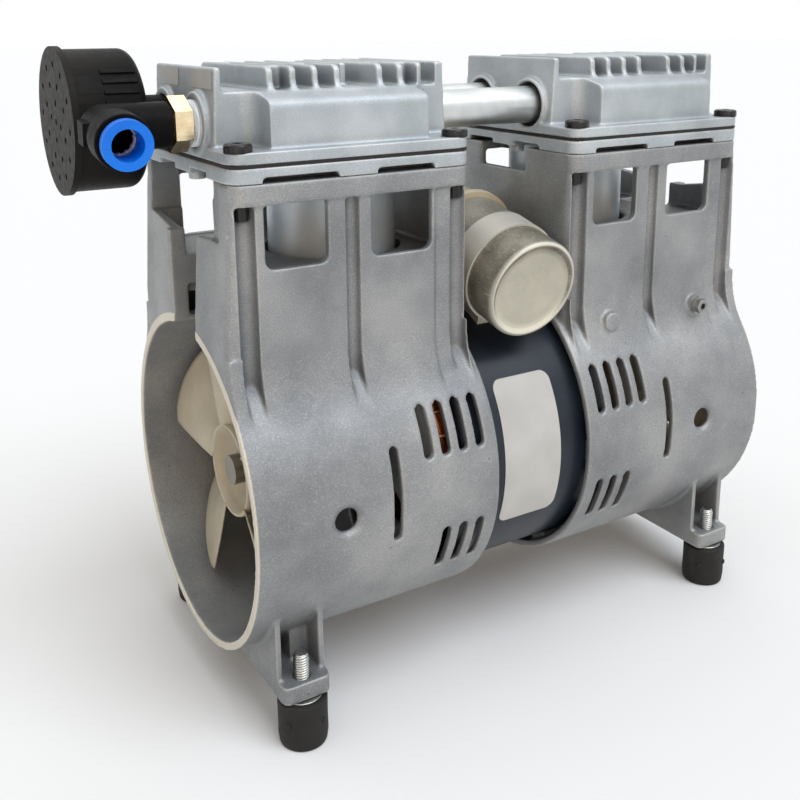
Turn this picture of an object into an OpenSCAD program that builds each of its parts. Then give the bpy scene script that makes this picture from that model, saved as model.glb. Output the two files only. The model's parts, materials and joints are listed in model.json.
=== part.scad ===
// Twin cylinder vacuum pump with rocking pistons, driven by one motor between its two castings.
// X runs along the shaft towards the right hand pump end, -Y is the front with the rating
// label and +Z is up. The origin lies on the floor, midway between the four rubber feet.

/* [Overall] */
// Height of the shaft axis above the floor
axis_z = 86.3; // [84:0.1:92]
// Distance from the middle of the pump to the middle of each tower
tower_x = 73; // [72:0.5:78]
// Length of a tower along the shaft
tower_l = 96.3; // [94:0.1:98]
// Depth of the deck, valve plate and head flange, front to back
deck_d = 95.8; // [94:0.1:100]
// Height of the top of the deck above the floor
deck_z = 208.5; // [204:0.5:215]

/* [Castings] */
// Outer radius of the round drum of a housing
drum_r = 66; // [65:0.5:70]
// Wall of the drum
drum_wall = 3; // [2.5:0.1:4]
// Distance from the middle of the pump to the inner rim of a drum
drum_in = 23; // [20:0.5:26]
// Distance from the middle of the pump to the outer rim of a drum
drum_out = 124.8; // [122:0.1:130]
// Wall of a tower
tower_wall = 3.2; // [2.5:0.1:4]
// How far the tower walls stand back from the edge of the deck
deck_lip = 0.9; // [0.5:0.1:2]
// Height of the deck band
deck_band = 7.5; // [6:0.5:10]
// Thickness of the deck plate
deck_t = 4; // [3:0.5:6]
// Radius of the vertical corners of deck, plate and head
corner_r = 6; // [4:0.5:9]
// Underside of the shelf that carries the cylinder
shelf_z = 158.5; // [156:0.5:162]
// Thickness of that shelf
shelf_t = 6; // [5:0.5:8]
// Width of the cooling slots
slot_w = 4; // [3:0.1:5]
// Distance between neighbouring cooling slots
slot_pitch = 7.7; // [7:0.1:9]
// Cooling slot nearest the middle of the pump
slot_x = 31; // [28:0.5:33]

/* [Heads] */
// Thickness of the valve plate
plate_t = 5.6; // [4:0.1:8]
// Thickness of the head gasket
gasket_t = 0.8; // [0.4:0.1:1.5]
// Thickness of the head flange
flange_t = 4.2; // [3:0.1:6]
// Height of a head above its gasket
head_h = 31.3; // [29:0.1:36]
// Distance between neighbouring fins on top of a head
fin_pitch = 8.7; // [8:0.1:10]
// Thickness of one fin
fin_t = 2.6; // [2:0.1:3.5]
// Depth of the valleys between the fins
fin_h = 8.2; // [6:0.1:10]
// Distance of the ports and transfer tubes from the middle plane
port_y = 16.85; // [16:0.05:18]
// Height of the ports and transfer tubes above the gasket
port_h = 12; // [11:0.1:13]
// Outer radius of a transfer tube
tube_r = 7.65; // [7:0.05:8]
// Wall of a transfer tube
tube_wall = 1.3; // [1:0.1:2]

/* [Cylinders and pistons] */
// Distance from the middle of the pump to a cylinder
cyl_x = 60.5; // [60:0.5:62]
// Radius of the cylinder bore
bore_r = 23; // [22:0.1:23.5]
// Wall of the cylinder sleeve
sleeve_wall = 2.6; // [2:0.1:3]
// Throw of the eccentric, half the stroke
throw = 3.6; // [3:0.1:4]
// Distance from the piston at top dead centre to the valve plate
crown_gap = 2.2; // [2:0.1:3]
// Width of the connecting rod along the shaft
rod_w = 12; // [10:0.5:13]

/* [Shaft and bearings] */
// Radius of the shaft in the bearings and fans
shaft_r = 6; // [5:0.1:6.5]
// Radius of the shaft inside the rotor
rotor_shaft_r = 8; // [7.5:0.1:10]
// Outer radius of a main bearing
main_bearing_r = 16; // [15:0.1:17.5]
// Width of a main bearing
main_bearing_w = 10; // [8:0.5:11]
// Bore radius of a rod bearing
rod_bearing_bore = 12.5; // [12:0.1:13]
// Outer radius of a rod bearing
rod_bearing_r = 23.5; // [22:0.1:24]
// Radius of the rod round its bearing
big_end_r = 27; // [26:0.5:29]

/* [Motor] */
// How far the motor shell lies inside the outside of a drum
shell_step = 5.8; // [5.2:0.1:7]
// Wall of the motor shell
shell_wall = 2.2; // [1.5:0.1:3]
// Half length of the motor shell
shell_half = 36; // [34:0.5:38]
// Half length of the stator stack
stack_half = 25; // [22:0.5:27]
// Outer radius of the rotor as a share of the shell's radius
rotor_share = 0.5; // [0.47:0.01:0.53]
// Gap between rotor and stator
air_gap = 0.4; // [0.3:0.1:0.6]

/* [Fans] */
// Radius of the fan hub
hub_r = 19; // [17:0.5:21]
// Gap between the blade tips and the inside of the drum
tip_gap = 5; // [3:0.5:8]
// Outer face of the hub, from the middle of the pump
fan_face = 109.3; // [107:0.1:112]

/* [Feet] */
// Distance of a foot from the middle of the pump along the shaft
foot_x = 106.2; // [104:0.1:108]
// How far the middle of a foot lies inside the outside of a drum
foot_inset = 9.2; // [7:0.1:11]
// Radius of a rubber foot
foot_r = 9.4; // [8:0.1:10]
// Underside of the cast lug above the floor
lug_z = 19.3; // [17:0.1:22]
// Thickness of the cast lug
lug_t = 7.3; // [6:0.1:9]
// Radius of the foot stud and its thread
stud_r = 3; // [2.5:0.1:3.2]

/* [Capacitor] */
// Radius of the capacitor can
can_r = 20.9; // [18:0.1:22]
// Length of the can in front of its plastic cap
can_l = 47.5; // [40:0.5:55]
// Angle from the top of the motor at which the can lies
can_tilt = 14; // [8:0.5:20]
// Distance from the motor shell to the can
can_gap = 1.5; // [1:0.1:4]

/* [Muffler and fitting] */
// Radius of the muffler cover
muffler_r = 26.4; // [24:0.1:26.4]
// Outer face of the muffler cover from the middle of the pump
muffler_face = 160.6; // [155:0.1:170]
// Length of the muffler drum with its cover
muffler_l = 27; // [25:0.1:32]
// Width of the hexagon of the fitting across its flats
hex_af = 17; // [16:0.5:19]
// Distance from the middle of the pump to the bend of the fitting
bend_x = 152.5; // [150:0.5:158]
// Distance from the bend to the front of the release ring
outlet_l = 27.4; // [26:0.1:32]
// Outer radius of the hose that the fitting takes
hose_r = 5; // [4:0.5:5.5]
// How far the outlet points down
outlet_tilt = 7; // [0:0.5:15]

/* [Hidden] */
$fn = 64;
// clearance of a running fit, and of pieces that are seated in each other
run_fit = 0.05;
seat = 0.02;
// gap between pieces that move past each other
clear = 0.3;
eps = 0.01;
// tower outline and heights that follow from the driving sizes
tower_d = deck_d - 2 * deck_lip;
half_l = tower_l / 2;
tower_y = tower_d / 2;
band_z = deck_z - deck_band;
plate_z = deck_z + plate_t;
gasket_z = plate_z + gasket_t;
head_z = gasket_z + head_h;
port_z = gasket_z + port_h;
shelf_top = shelf_z + shelf_t;
sleeve_r = bore_r + sleeve_wall;
seal_up = 6.5;
shell_r = drum_r - shell_step;
fan_r = drum_r - drum_wall - tip_gap;
rotor_r = rotor_share * shell_r;
foot_y = drum_r - foot_inset;
// head screws sit in the corners and their tips show in the corner channels of the tower
screw_inset = 5;
screw_x = half_l - screw_inset;
screw_y = deck_d / 2 - screw_inset;
screw_r = 2.5;
screw_head_r = 4.9;
screw_head_h = 2.9;
screw_head_round = 1.2;
screw_tip_z = band_z - 5;
post_l = 12;
post_d = 9.4;
// windows of a tower front, from its middle towards the right hand end
win_a = [-36.3, -12.5];
win_b = [5, 30.5];
window_z = 178.4;
window_r = 3.4;
groove_mid = -2.8;
groove_r = 2.7;
channel_r = 3.3;
strip_from = 32;
strip_depth = 1.2;
notch_out = 34;
notch_in = 16;
notch_depth = 12;
throat = 13.8;
throat_z = 185.5;
shoulder_z = 189.5;
inner_notch_z = 198.5;
rod_window = [rod_w + 8, 44];
// bearing wall of a housing
wall_x = 48.5;
wall_t = 3;
bearing_x = wall_x + wall_t + 1 - main_bearing_w;
bearing_hub_r = main_bearing_r + 4;
vent_r = 7;
vent_mid = 36;
// slots and the countersunk hole in the drum, heights above the shaft axis
slot_top = [15.9, 35];
slot_low = [-33.1, -13.3];
long_slot_x = 68.8;
long_slot_w = 3.4;
long_slot_z = [-12.5, 23.7];
hole_x = 89.8;
hole_z = 1.6;
hole_r = 4.4;
hole_sink_r = 6.4;
// bosses on the front of the tower foot
boss_x = [46.6, 97];
boss_z = 136.3;
boss_r = 4;
boss_stand = 4;
boss_y = max(tower_y, sqrt(pow(drum_r, 2) - pow(boss_z - axis_z, 2))) + boss_stand;
ground_r = 2;
ground_l = 7;
// lands that hold the motor shell, and tie bolts through the stack
land_w = 9;
land_l = 12;
bolt_mid = shell_r - 7.7;
bolt_r = 2;
bolt_head_r = 4;
bolt_head_h = 3;
// lugs and feet
lug_half_l = 9.6;
lug_front = foot_y + 5.9;
lug_round = 3;
ledge_front = foot_y - 9.8;
ledge_top = 40;
web_t = 2.3;
web_front = foot_y - 0.2;
web_top = 52;
foot_top = lug_z - 0.8;
stud_top = lug_z + lug_t + 9.5;
stud_in_foot = 9;
insert_depth = 8;
insert_r = 2.5;
plate_disc_r = 7.4;
// head shape
recess_x = 31.5;
recess_y = 31;
recess_r = 6;
box_half_d = 44;
box_draft = 1.6;
// the floor between the fins falls towards the front edge, and the fins end in round corners
shoulder_drop = 2.7;
fin_y = 32.4;
fin_round = 3;
foot_r_fin = 5;
lip_r = 3.5;
slope = atan(shoulder_drop / (box_half_d - fin_y));
end_wall = 5;
// fins by their number from the middle, the one that is short, and the bridges as fin and place
fin_last = 5;
fin_first = -3;
short_fin_y = 20;
bridges = [[-3, -24], [3, -23], [-1, -9], [-3, 22], [3, 21]];
bridge_t = 2;
port_boss_r = 11;
port_boss_h = 1.6;
chamber_half_l = 40;
chamber_y = [2, 27];
chamber_h = head_h - fin_h - 3;
port_r = 8.3;
tube_hole_r = 9.3;
tube_in = 7;
// valve plate underside notches, from the middle of the tower
notch_a = [-36.5, -8];
notch_b = [7.5, 31.5];
notch_h = 2;
notch_d = 7;
stub_r = 3.2;
stub_len = 2.8;
stub_y = 4.7;
end_notch = [7.7, 24.9];
valve_y = 10;
valve_hole_r = 1.8;
reed_t = 0.3;
reed_w = 9;
reed_root = 6;
reed_tip = -9;
clamp_l = 5.6;
clamp_t = 1.3;
// piston, cup and rod
crown_top = deck_z - crown_gap;
piston_r = bore_r - throw - 0.4;
piston_t = 6;
cup_t = 1;
cup_lip = 3.4;
cup_clamp_r = 14;
cup_clamp_t = 2;
shank_w = 16;
journal_r = rod_bearing_bore - run_fit;
journal_x = cyl_x - rod_w / 2 - 0.6;
weight_x = cyl_x + rod_w / 2 + 1.2;
weight_t = 5.4;
weight_r = 25;
shaft_half = fan_face - 0.6;
rotor_half = stack_half + 1;
winding = [0.6 * shell_r, 0.8 * shell_r];
winding_x = stack_half + 19;
stack_r = shell_r - shell_wall;
// fan
hub_depth = 8;
hub_floor = 3;
hub_wall = 1.4;
fan_boss_r = 9.5;
fan_in_x = 90;
blade_count = 5;
blade_t = 1.8;
blade_chord = 34;
blade_pitch = 62;
blade_first = -8;
blade_mid_x = 103;
clip_t = 1;
clip_r = 9;
clip_groove = 0.5;
// capacitor, in a frame that is turned about the shaft axis by can_tilt
can_axis = shell_r + can_gap + can_r;
can_front = -36.1;
can_cap_l = 24;
cap_flange_r = can_r + 2;
cap_flange_t = 3;
cap_body_r = can_r - 1.5;
strap_w = 13;
strap_t = 0.9;
strap_y = -14;
saddle_w = 18;
saddle_y = [-16, 9];
// muffler and fitting along the port axes
muffler_wall = 2.2;
muffler_round = 4;
cover_t = 2.4;
muffler_body_r = muffler_r - 1.1;
neck_r = 8.2;
neck_end = half_l + tower_x - 8.5;
neck_bore = 5;
rib_count = 5;
rib_from = 12;
rib_len = muffler_l - rib_from - muffler_round + 1;
vent_hole_r = 1.15;
felt_gap = 4.5;
felt_side = 2;
felt_l = 12;
thread_r = 7.7;
tape_t = 0.5;
port_face = tower_x + half_l + port_boss_h - 1;
hex_x = port_face + 2.8;
hex_l = 6.2;
swivel_r = 6;
swivel_l = 9;
barrel_r = 8;
outlet_r = 9.3;
ring_r = 8.2;
ring_t = 3;
ring_sleeve_r = hose_r + 1.5;
ring_sleeve_l = 5;
ring_travel = 1.2;
ring_gap = ring_travel + 0.2;
hose_fit = 0.05;
label_x = [-16.3, 12];
label_z = [62.3, 121.4];
label_r = 4;
label_t = 0.25;
port_label = [18.4, 6.3];
port_label_y = [-19.2, 14.2];
port_label_drop = 1;
port_label_gap = 0.05;

// a piece modelled at the right hand end, and turned to the left hand end
module at_end(s) { rotate([0, 0, s > 0 ? 0 : 180]) children(); }
// a piece modelled over a tower that keeps its direction
module over_tower(s) { translate([s * tower_x, 0, 0]) children(); }
// a rod along X or Y with its middle line through the given height
module along_x(x, r, l, z = 0, y = 0) {
    translate([x, y, z]) rotate([0, 90, 0]) cylinder(r = r, h = l);
}
module along_y(y, r, l, x = 0, z = 0) {
    translate([x, y, z]) rotate([-90, 0, 0]) cylinder(r = r, h = l);
}
module box(x, y, z) {
    translate([x[0], y[0], z[0]]) cube([x[1] - x[0], y[1] - y[0], z[1] - z[0]]);
}
module round_square(w, d, r) {
    square([w - 2 * r, d], center = true);
    square([w, d - 2 * r], center = true);
    for (i = [-1, 1], j = [-1, 1]) translate([i * (w / 2 - r), j * (d / 2 - r)]) circle(r);
}
// upright slot cut through the front wall, with round ends
module upright_slot(x, w, z) {
    box([x - w / 2, x + w / 2], [-drum_r - 5, 0], [z[0] + w / 2, z[1] - w / 2]);
    for (h = [z[0] + w / 2, z[1] - w / 2]) along_y(-drum_r - 5, w / 2, drum_r + 5, x, h);
}
// window through the front wall of a tower, with its lower corners rounded
module window_cut(x) {
    box([x[0], x[1]], [-tower_y - 5, 0], [window_z + window_r, band_z]);
    box([x[0] + window_r, x[1] - window_r], [-tower_y - 5, 0], [window_z, band_z]);
    for (c = [x[0] + window_r, x[1] - window_r])
        along_y(-tower_y - 5, window_r, tower_y + 5, c, window_z + window_r);
}

// housing casting: drum, tower, deck, shelf, bearing wall and lugs
module drum_body() {
    along_x(drum_in, drum_r, drum_out - drum_in, axis_z);
}
module drum_hollow() {
    along_x(drum_in - 1, drum_r - drum_wall, wall_x - drum_in + 1, axis_z);
    along_x(wall_x + wall_t, drum_r - drum_wall, drum_out - wall_x, axis_z);
}
module tower_block() {
    translate([tower_x, 0, axis_z]) linear_extrude(deck_z - axis_z - 1)
        round_square(tower_l, tower_d, corner_r);
    translate([tower_x, 0, band_z]) linear_extrude(deck_band)
        round_square(tower_l, deck_d, corner_r);
}
module tower_hollow() {
    inner_l = tower_l - 2 * tower_wall;
    inner_d = tower_d - 2 * tower_wall;
    difference() {
        translate([tower_x, 0, axis_z]) linear_extrude(shelf_z - axis_z)
            square([inner_l, inner_d], center = true);
        tower_inserts();
    }
    difference() {
        translate([tower_x, 0, shelf_top]) linear_extrude(deck_z - deck_t - shelf_top)
            square([inner_l, inner_d], center = true);
        tower_inserts();
    }
}
// corner posts for the head screws and the rib behind the middle groove
module tower_inserts() {
    for (i = [-1, 1], j = [-1, 1])
        translate([tower_x + i * (half_l - post_l / 2), j * (tower_y - post_d / 2), 0])
            linear_extrude(deck_z) square([post_l, post_d], center = true);
    for (t = [0, 180]) translate([tower_x, 0, 0]) rotate([0, 0, t])
        translate([groove_mid - 5, -tower_y, 0]) cube([10, 6.5, deck_z]);
}
module tower_face_cuts() {
    translate([tower_x, 0, 0]) for (t = [0, 180]) rotate([0, 0, t]) {
        window_cut(win_a);
        window_cut(win_b);
        for (i = [-1, 1]) translate([i * screw_x, -tower_y + 1.4, axis_z])
            cylinder(r = channel_r, h = band_z - axis_z);
        for (i = [-1, 1]) translate([i * screw_x - channel_r, -tower_y - 3, axis_z])
            cube([2 * channel_r, 4.4, band_z - axis_z]);
        translate([groove_mid, -tower_y + 0.6, axis_z]) cylinder(r = groove_r, h = band_z - axis_z);
        translate([strip_from, -tower_y - 1, axis_z])
            cube([screw_x - channel_r - strip_from, 1 + strip_depth, band_z - axis_z]);
    }
}
module tower_end_cuts() {
    out_x = tower_x + half_l;
    box([out_x - notch_depth, out_x + 1], [-notch_out, notch_out], [shoulder_z, deck_z + 1]);
    box([out_x - notch_depth, out_x + 1], [-throat, throat], [axis_z + drum_r - 2, shoulder_z + 1]);
    translate([out_x - notch_depth, 0, 0]) rotate([90, 0, 90]) linear_extrude(notch_depth + 1)
        polygon([[-throat, throat_z], [throat, throat_z], [notch_out, shoulder_z],
            [-notch_out, shoulder_z]]);
    in_x = tower_x - half_l;
    box([in_x - 1, in_x + notch_depth], [-notch_in, notch_in], [inner_notch_z, deck_z + 1]);
}
module lug() {
    translate([foot_x, 0, 0]) {
        box([-lug_half_l, lug_half_l], [lug_round - lug_front, -18], [lug_z, lug_z + lug_t]);
        box([lug_round - lug_half_l, lug_half_l - lug_round], [-lug_front, -18], [lug_z, lug_z + lug_t]);
        for (x = [lug_round - lug_half_l, lug_half_l - lug_round])
            translate([x, lug_round - lug_front, lug_z]) cylinder(r = lug_round, h = lug_t);
        box([web_t - lug_half_l, 0], [-ledge_front, -18], [lug_z, ledge_top]);
        for (x = [-lug_half_l, lug_half_l - web_t])
            box([x, x + web_t], [-web_front, -18], [lug_z, web_top]);
    }
}
module bearing_wall() {
    along_x(bearing_x, bearing_hub_r, wall_x + wall_t + 1 - bearing_x, axis_z);
}
module shell_lands() {
    for (a = [0:60:300]) translate([drum_in + 2, 0, axis_z]) rotate([a + 30, 0, 0])
        translate([0, -land_w / 2, shell_r + seat])
            cube([land_l, land_w, drum_r - 1 - shell_r]);
}
module housing() {
    color("silver") difference() {
        union() {
            difference() {
                union() {
                    drum_body();
                    tower_block();
                    lug();
                    mirror([0, 1, 0]) lug();
                    for (x = boss_x) along_y(-boss_y, boss_r, boss_y - 30, x, boss_z);
                }
                drum_hollow();
                difference() {
                    tower_hollow();
                    drum_body();
                }
            }
            bearing_wall();
            shell_lands();
        }
        tower_face_cuts();
        tower_end_cuts();
        drum_cuts();
        along_x(bearing_x - 1, shaft_r + 3, 30, axis_z);
        along_x(bearing_x, main_bearing_r + seat, main_bearing_w + 2, axis_z);
        for (a = [0:60:300]) translate([0, 0, axis_z]) rotate([a, 0, 0])
            along_x(wall_x - 1, vent_r, wall_t + 2, vent_mid);
        for (a = [45:90:315]) translate([0, 0, axis_z]) rotate([a, 0, 0])
            along_x(wall_x - 1, bolt_r + seat, wall_t + 2, bolt_mid);
        translate([tower_x, 0, 0]) for (i = [-1, 1], j = [-1, 1])
            translate([i * screw_x, j * screw_y, screw_tip_z]) cylinder(r = screw_r + seat, h = 20);
        translate([cyl_x, 0, shelf_z - 1]) cylinder(r = bore_r - 2, h = shelf_t + 2);
        translate([cyl_x, 0, shelf_top - 1.5]) cylinder(r = sleeve_r + seat, h = deck_z);
        translate([cyl_x - rod_window[0] / 2, -rod_window[1] / 2, axis_z + 30])
            cube([rod_window[0], rod_window[1], shelf_z - axis_z - 30 - eps]);
        for (j = [-1, 1]) translate([foot_x, j * foot_y, lug_z - 1])
            cylinder(r = stud_r + seat, h = lug_t + 2);
        along_y(-boss_y - 1, ground_r + seat, ground_l + 2, boss_x[1], boss_z);
    }
}
module drum_cuts() {
    for (t = [0, 1]) mirror([0, t, 0]) {
        for (i = [0:3]) upright_slot(slot_x + i * slot_pitch, slot_w, slot_top + [axis_z, axis_z]);
        for (i = [0:2]) upright_slot(slot_x + i * slot_pitch, slot_w, slot_low + [axis_z, axis_z]);
        upright_slot(long_slot_x, long_slot_w, long_slot_z + [axis_z, axis_z]);
        along_y(-drum_r - 5, hole_r, drum_r, hole_x, axis_z + hole_z);
        translate([hole_x, -drum_r - eps, axis_z + hole_z]) rotate([-90, 0, 0])
            cylinder(r1 = hole_sink_r, r2 = hole_r, h = hole_sink_r - hole_r);
    }
}
module left_housing() { at_end(-1) housing(); }
module right_housing() { at_end(1) housing(); }

// cylinder sleeve and the seal under it
module cylinder_sleeve() {
    color("lightsteelblue") translate([cyl_x, 0, shelf_top - 1.5]) difference() {
        cylinder(r = sleeve_r, h = deck_z - shelf_top + 1.5);
        translate([0, 0, -1]) cylinder(r = bore_r, h = deck_z);
        rotate_extrude() translate([sleeve_r + 0.5, seal_up + 1.5]) circle(1.1);
    }
}
module left_cylinder() { at_end(-1) cylinder_sleeve(); }
module right_cylinder() { at_end(1) cylinder_sleeve(); }
module cylinder_seals() {
    color("black") for (s = [-1, 1]) at_end(s) translate([cyl_x, 0, shelf_top + seal_up])
        rotate_extrude() translate([sleeve_r + 0.65, 0]) circle(0.9);
}

// valve plate with underside notches, screw stubs and valve holes
module plate_outline(h) {
    linear_extrude(h) difference() {
        round_square(tower_l, deck_d, corner_r);
        for (i = [-1, 1], j = [-1, 1]) translate([i * screw_x, j * screw_y]) circle(screw_r + 0.25);
    }
}
module valve_plate(s) {
    color("silver") over_tower(s) difference() {
        union() {
            translate([0, 0, deck_z]) plate_outline(plate_t);
            for (x = [-half_l + stub_r + 1, half_l - stub_r - 1])
                translate([x, -stub_y, deck_z - stub_len]) cylinder(r = stub_r, h = stub_len + 1);
        }
        for (t = [0, 180], n = [notch_a, notch_b]) rotate([0, 0, t])
            box(n, [-deck_d / 2 - 1, -deck_d / 2 + notch_d], [deck_z - 1, deck_z + notch_h]);
        for (t = [0, 180], j = [0, 1]) rotate([0, 0, t]) mirror([0, j, 0])
            box([half_l - notch_d, half_l + 1], end_notch, [deck_z - 1, deck_z + notch_h]);
        for (y = [-1, 1], x = [-4.5, 0, 4.5])
            translate([-s * tower_x + s * cyl_x + x, y * valve_y, deck_z - 1])
                cylinder(r = valve_hole_r, h = plate_t + 2);
    }
}
module left_valve_plate() { valve_plate(-1); }
module right_valve_plate() { valve_plate(1); }

module chamber_outline() {
    for (j = [-1, 1]) translate([0, j * (chamber_y[0] + chamber_y[1]) / 2])
        round_square(2 * chamber_half_l, chamber_y[1] - chamber_y[0], 3);
}
module gasket(s) {
    color("dimgray") over_tower(s) translate([0, 0, plate_z]) difference() {
        plate_outline(gasket_t);
        translate([0, 0, -1]) linear_extrude(gasket_t + 2) chamber_outline();
    }
}
module left_gasket() { gasket(-1); }
module right_gasket() { gasket(1); }

// finned head with two chambers, port bosses and corner recesses
module head_box() {
    intersection() {
        translate([-half_l, 0, gasket_z]) rotate([90, 0, 90]) linear_extrude(tower_l)
            for (j = [0, 1]) mirror([j, 0]) head_half_profile();
        translate([0, deck_d / 2, gasket_z]) rotate([90, 0, 0]) linear_extrude(deck_d)
            polygon([[-half_l + 1, 0], [-half_l + 1 + box_draft, head_h],
                [half_l - 1 - box_draft, head_h], [half_l - 1, 0]]);
    }
}
// half of the section of a head across its middle: round lip, sloping shelf, flared foot and fin
module head_half_profile() {
    floor_z = head_h - fin_h;
    lip = [box_half_d - lip_r, floor_z - shoulder_drop - lip_r * (1 - sin(slope)) / cos(slope)];
    foot = [fin_y + foot_r_fin,
        floor_z - foot_r_fin * tan(slope) + foot_r_fin / cos(slope)];
    polygon([[-1, 0], [box_half_d, 0], [box_half_d, lip[1]], lip + lip_r * [sin(slope), cos(slope)],
        [fin_y, floor_z], [fin_y, head_h - fin_round], [fin_y - fin_round, head_h - fin_round],
        [fin_y - fin_round, head_h], [-1, head_h]]);
    translate(lip) circle(lip_r);
    translate([fin_y - fin_round, head_h - fin_round]) circle(fin_round);
    difference() {
        polygon([[fin_y - 1, floor_z - 1], foot - foot_r_fin * [sin(slope), cos(slope)],
            [fin_y, foot[1]], [fin_y - 1, foot[1]]]);
        translate(foot) circle(foot_r_fin + 0.05);
    }
}
module corner_recess() {
    reach = 30;
    translate([recess_x + reach / 2, recess_y + reach / 2, gasket_z + flange_t])
        linear_extrude(head_h) round_square(reach, reach, recess_r);
}
module valley(x, y) {
    box(x, y, [head_z - fin_h, head_z + 1]);
}
module fin_valleys() {
    side = fin_t / 2;
    through = [-deck_d / 2, deck_d / 2];
    difference() {
        union() {
            valley([end_wall - half_l, fin_first * fin_pitch - side], through);
            for (k = [fin_first:fin_last - 1])
                valley([k * fin_pitch + side, (k + 1) * fin_pitch - side], through);
        }
        for (b = bridges)
            box([b[0] * fin_pitch, (b[0] + 1) * fin_pitch], [b[1], b[1] + bridge_t],
                [head_z - fin_h - 1, head_z + 2]);
    }
    // the fin right of the middle one stops short of the front and back
    for (j = [0, 1]) mirror([0, j, 0])
        valley([side, 2 * fin_pitch - side], [-deck_d / 2, -short_fin_y]);
}
module head(s) {
    color("silver") over_tower(s) difference() {
        union() {
            translate([0, 0, gasket_z]) plate_outline(flange_t);
            difference() {
                head_box();
                for (i = [0, 1], j = [0, 1]) mirror([i, 0, 0]) mirror([0, j, 0]) corner_recess();
                fin_valleys();
            }
            for (j = [-1, 1])
                along_x(-half_l - port_boss_h + 1, port_boss_r, tower_l + 2 * port_boss_h - 2,
                    port_z, j * port_y);
        }
        translate([0, 0, gasket_z - 1]) linear_extrude(chamber_h + 1) chamber_outline();
        box([-half_l - 5, half_l + 5], [-deck_d, deck_d], [gasket_z - 5, gasket_z]);
        for (i = [-1, 1], j = [-1, 1]) translate([i * screw_x, j * screw_y, gasket_z - 1])
            cylinder(r = screw_r + 0.25, h = flange_t + 2);
        for (j = [-1, 1]) {
            along_x(s > 0 ? -half_l - 3 : half_l - 12, tube_hole_r, 15, port_z, j * port_y);
            if (s < 0) along_x(-half_l - 3, port_r, 15, port_z, j * port_y);
        }
    }
}
module left_head() { head(-1); }
module right_head() { head(1); }

module head_screws() {
    color("black") for (s = [-1, 1], i = [-1, 1], j = [-1, 1])
        translate([s * tower_x + i * screw_x, j * screw_y, gasket_z + flange_t]) difference() {
            union() {
                rotate_extrude() {
                    square([screw_head_r, screw_head_h - screw_head_round]);
                    square([screw_head_r - screw_head_round, screw_head_h]);
                    translate([screw_head_r, screw_head_h] - [screw_head_round, screw_head_round])
                        circle(screw_head_round);
                }
                translate([0, 0, screw_tip_z - gasket_z - flange_t])
                    cylinder(r = screw_r, h = gasket_z + flange_t - screw_tip_z + eps);
            }
            translate([0, 0, 0.8]) cylinder(r = 1.75, h = 4, $fn = 6);
        }
}

// transfer tubes between the heads and their seals
module transfer_tube(y) {
    reach = tower_x - half_l + tube_in;
    color("lightgray") difference() {
        along_x(-reach, tube_r, 2 * reach, port_z, y);
        along_x(-reach - 1, tube_r - tube_wall, 2 * reach + 2, port_z, y);
    }
}
module front_tube() { transfer_tube(-port_y); }
module rear_tube() { transfer_tube(port_y); }
module tube_seals() {
    seal_x = tower_x - half_l + 3.2;
    seal_r = (tube_hole_r - tube_r) / 2 - seat;
    color("black") for (s = [-1, 1], j = [-1, 1]) translate([s * seal_x, j * port_y, port_z])
        rotate([0, 90, 0]) rotate_extrude() translate([(tube_hole_r + tube_r) / 2, 0]) circle(seal_r);
}

// valve reeds: the intake reed hangs under the plate and the exhaust reed lies on top
module reed(s, side) {
    z = side < 0 ? deck_z - seat - reed_t : plate_z + seat;
    color("lightslategray") translate([s * cyl_x, side * valve_y, z]) {
        translate([reed_tip, -reed_w / 2, 0]) cube([reed_root - reed_tip, reed_w, reed_t]);
        translate([reed_tip, 0, 0]) cylinder(r = reed_w / 2, h = reed_t);
    }
}
module left_intake_reed() { reed(-1, -1); }
module right_intake_reed() { reed(1, -1); }
module left_exhaust_reed() { reed(-1, 1); }
module right_exhaust_reed() { reed(1, 1); }
module reed_clamps() {
    color("gray") for (s = [-1, 1], side = [-1, 1])
        translate([s * cyl_x + reed_root + clear, side * valve_y,
            side < 0 ? deck_z - seat - clamp_t : plate_z + seat]) {
            translate([0, -reed_w / 2, 0]) cube([clamp_l, reed_w, clamp_t]);
        }
}

// bearings
module bearing_ring(bore, outer, w) {
    difference() {
        cylinder(r = outer, h = w);
        translate([0, 0, -1]) cylinder(r = bore, h = w + 2);
        for (z = [-1, w - 0.6]) translate([0, 0, z]) difference() {
            cylinder(r = outer - 2.2, h = 1.6);
            translate([0, 0, -1]) cylinder(r = bore + 2, h = 4);
        }
    }
}
module main_bearing() {
    color("gainsboro") translate([bearing_x + seat, 0, axis_z]) rotate([0, 90, 0])
        bearing_ring(shaft_r + run_fit, main_bearing_r, main_bearing_w);
}
module left_main_bearing() { at_end(-1) main_bearing(); }
module right_main_bearing() { at_end(1) main_bearing(); }

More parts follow.
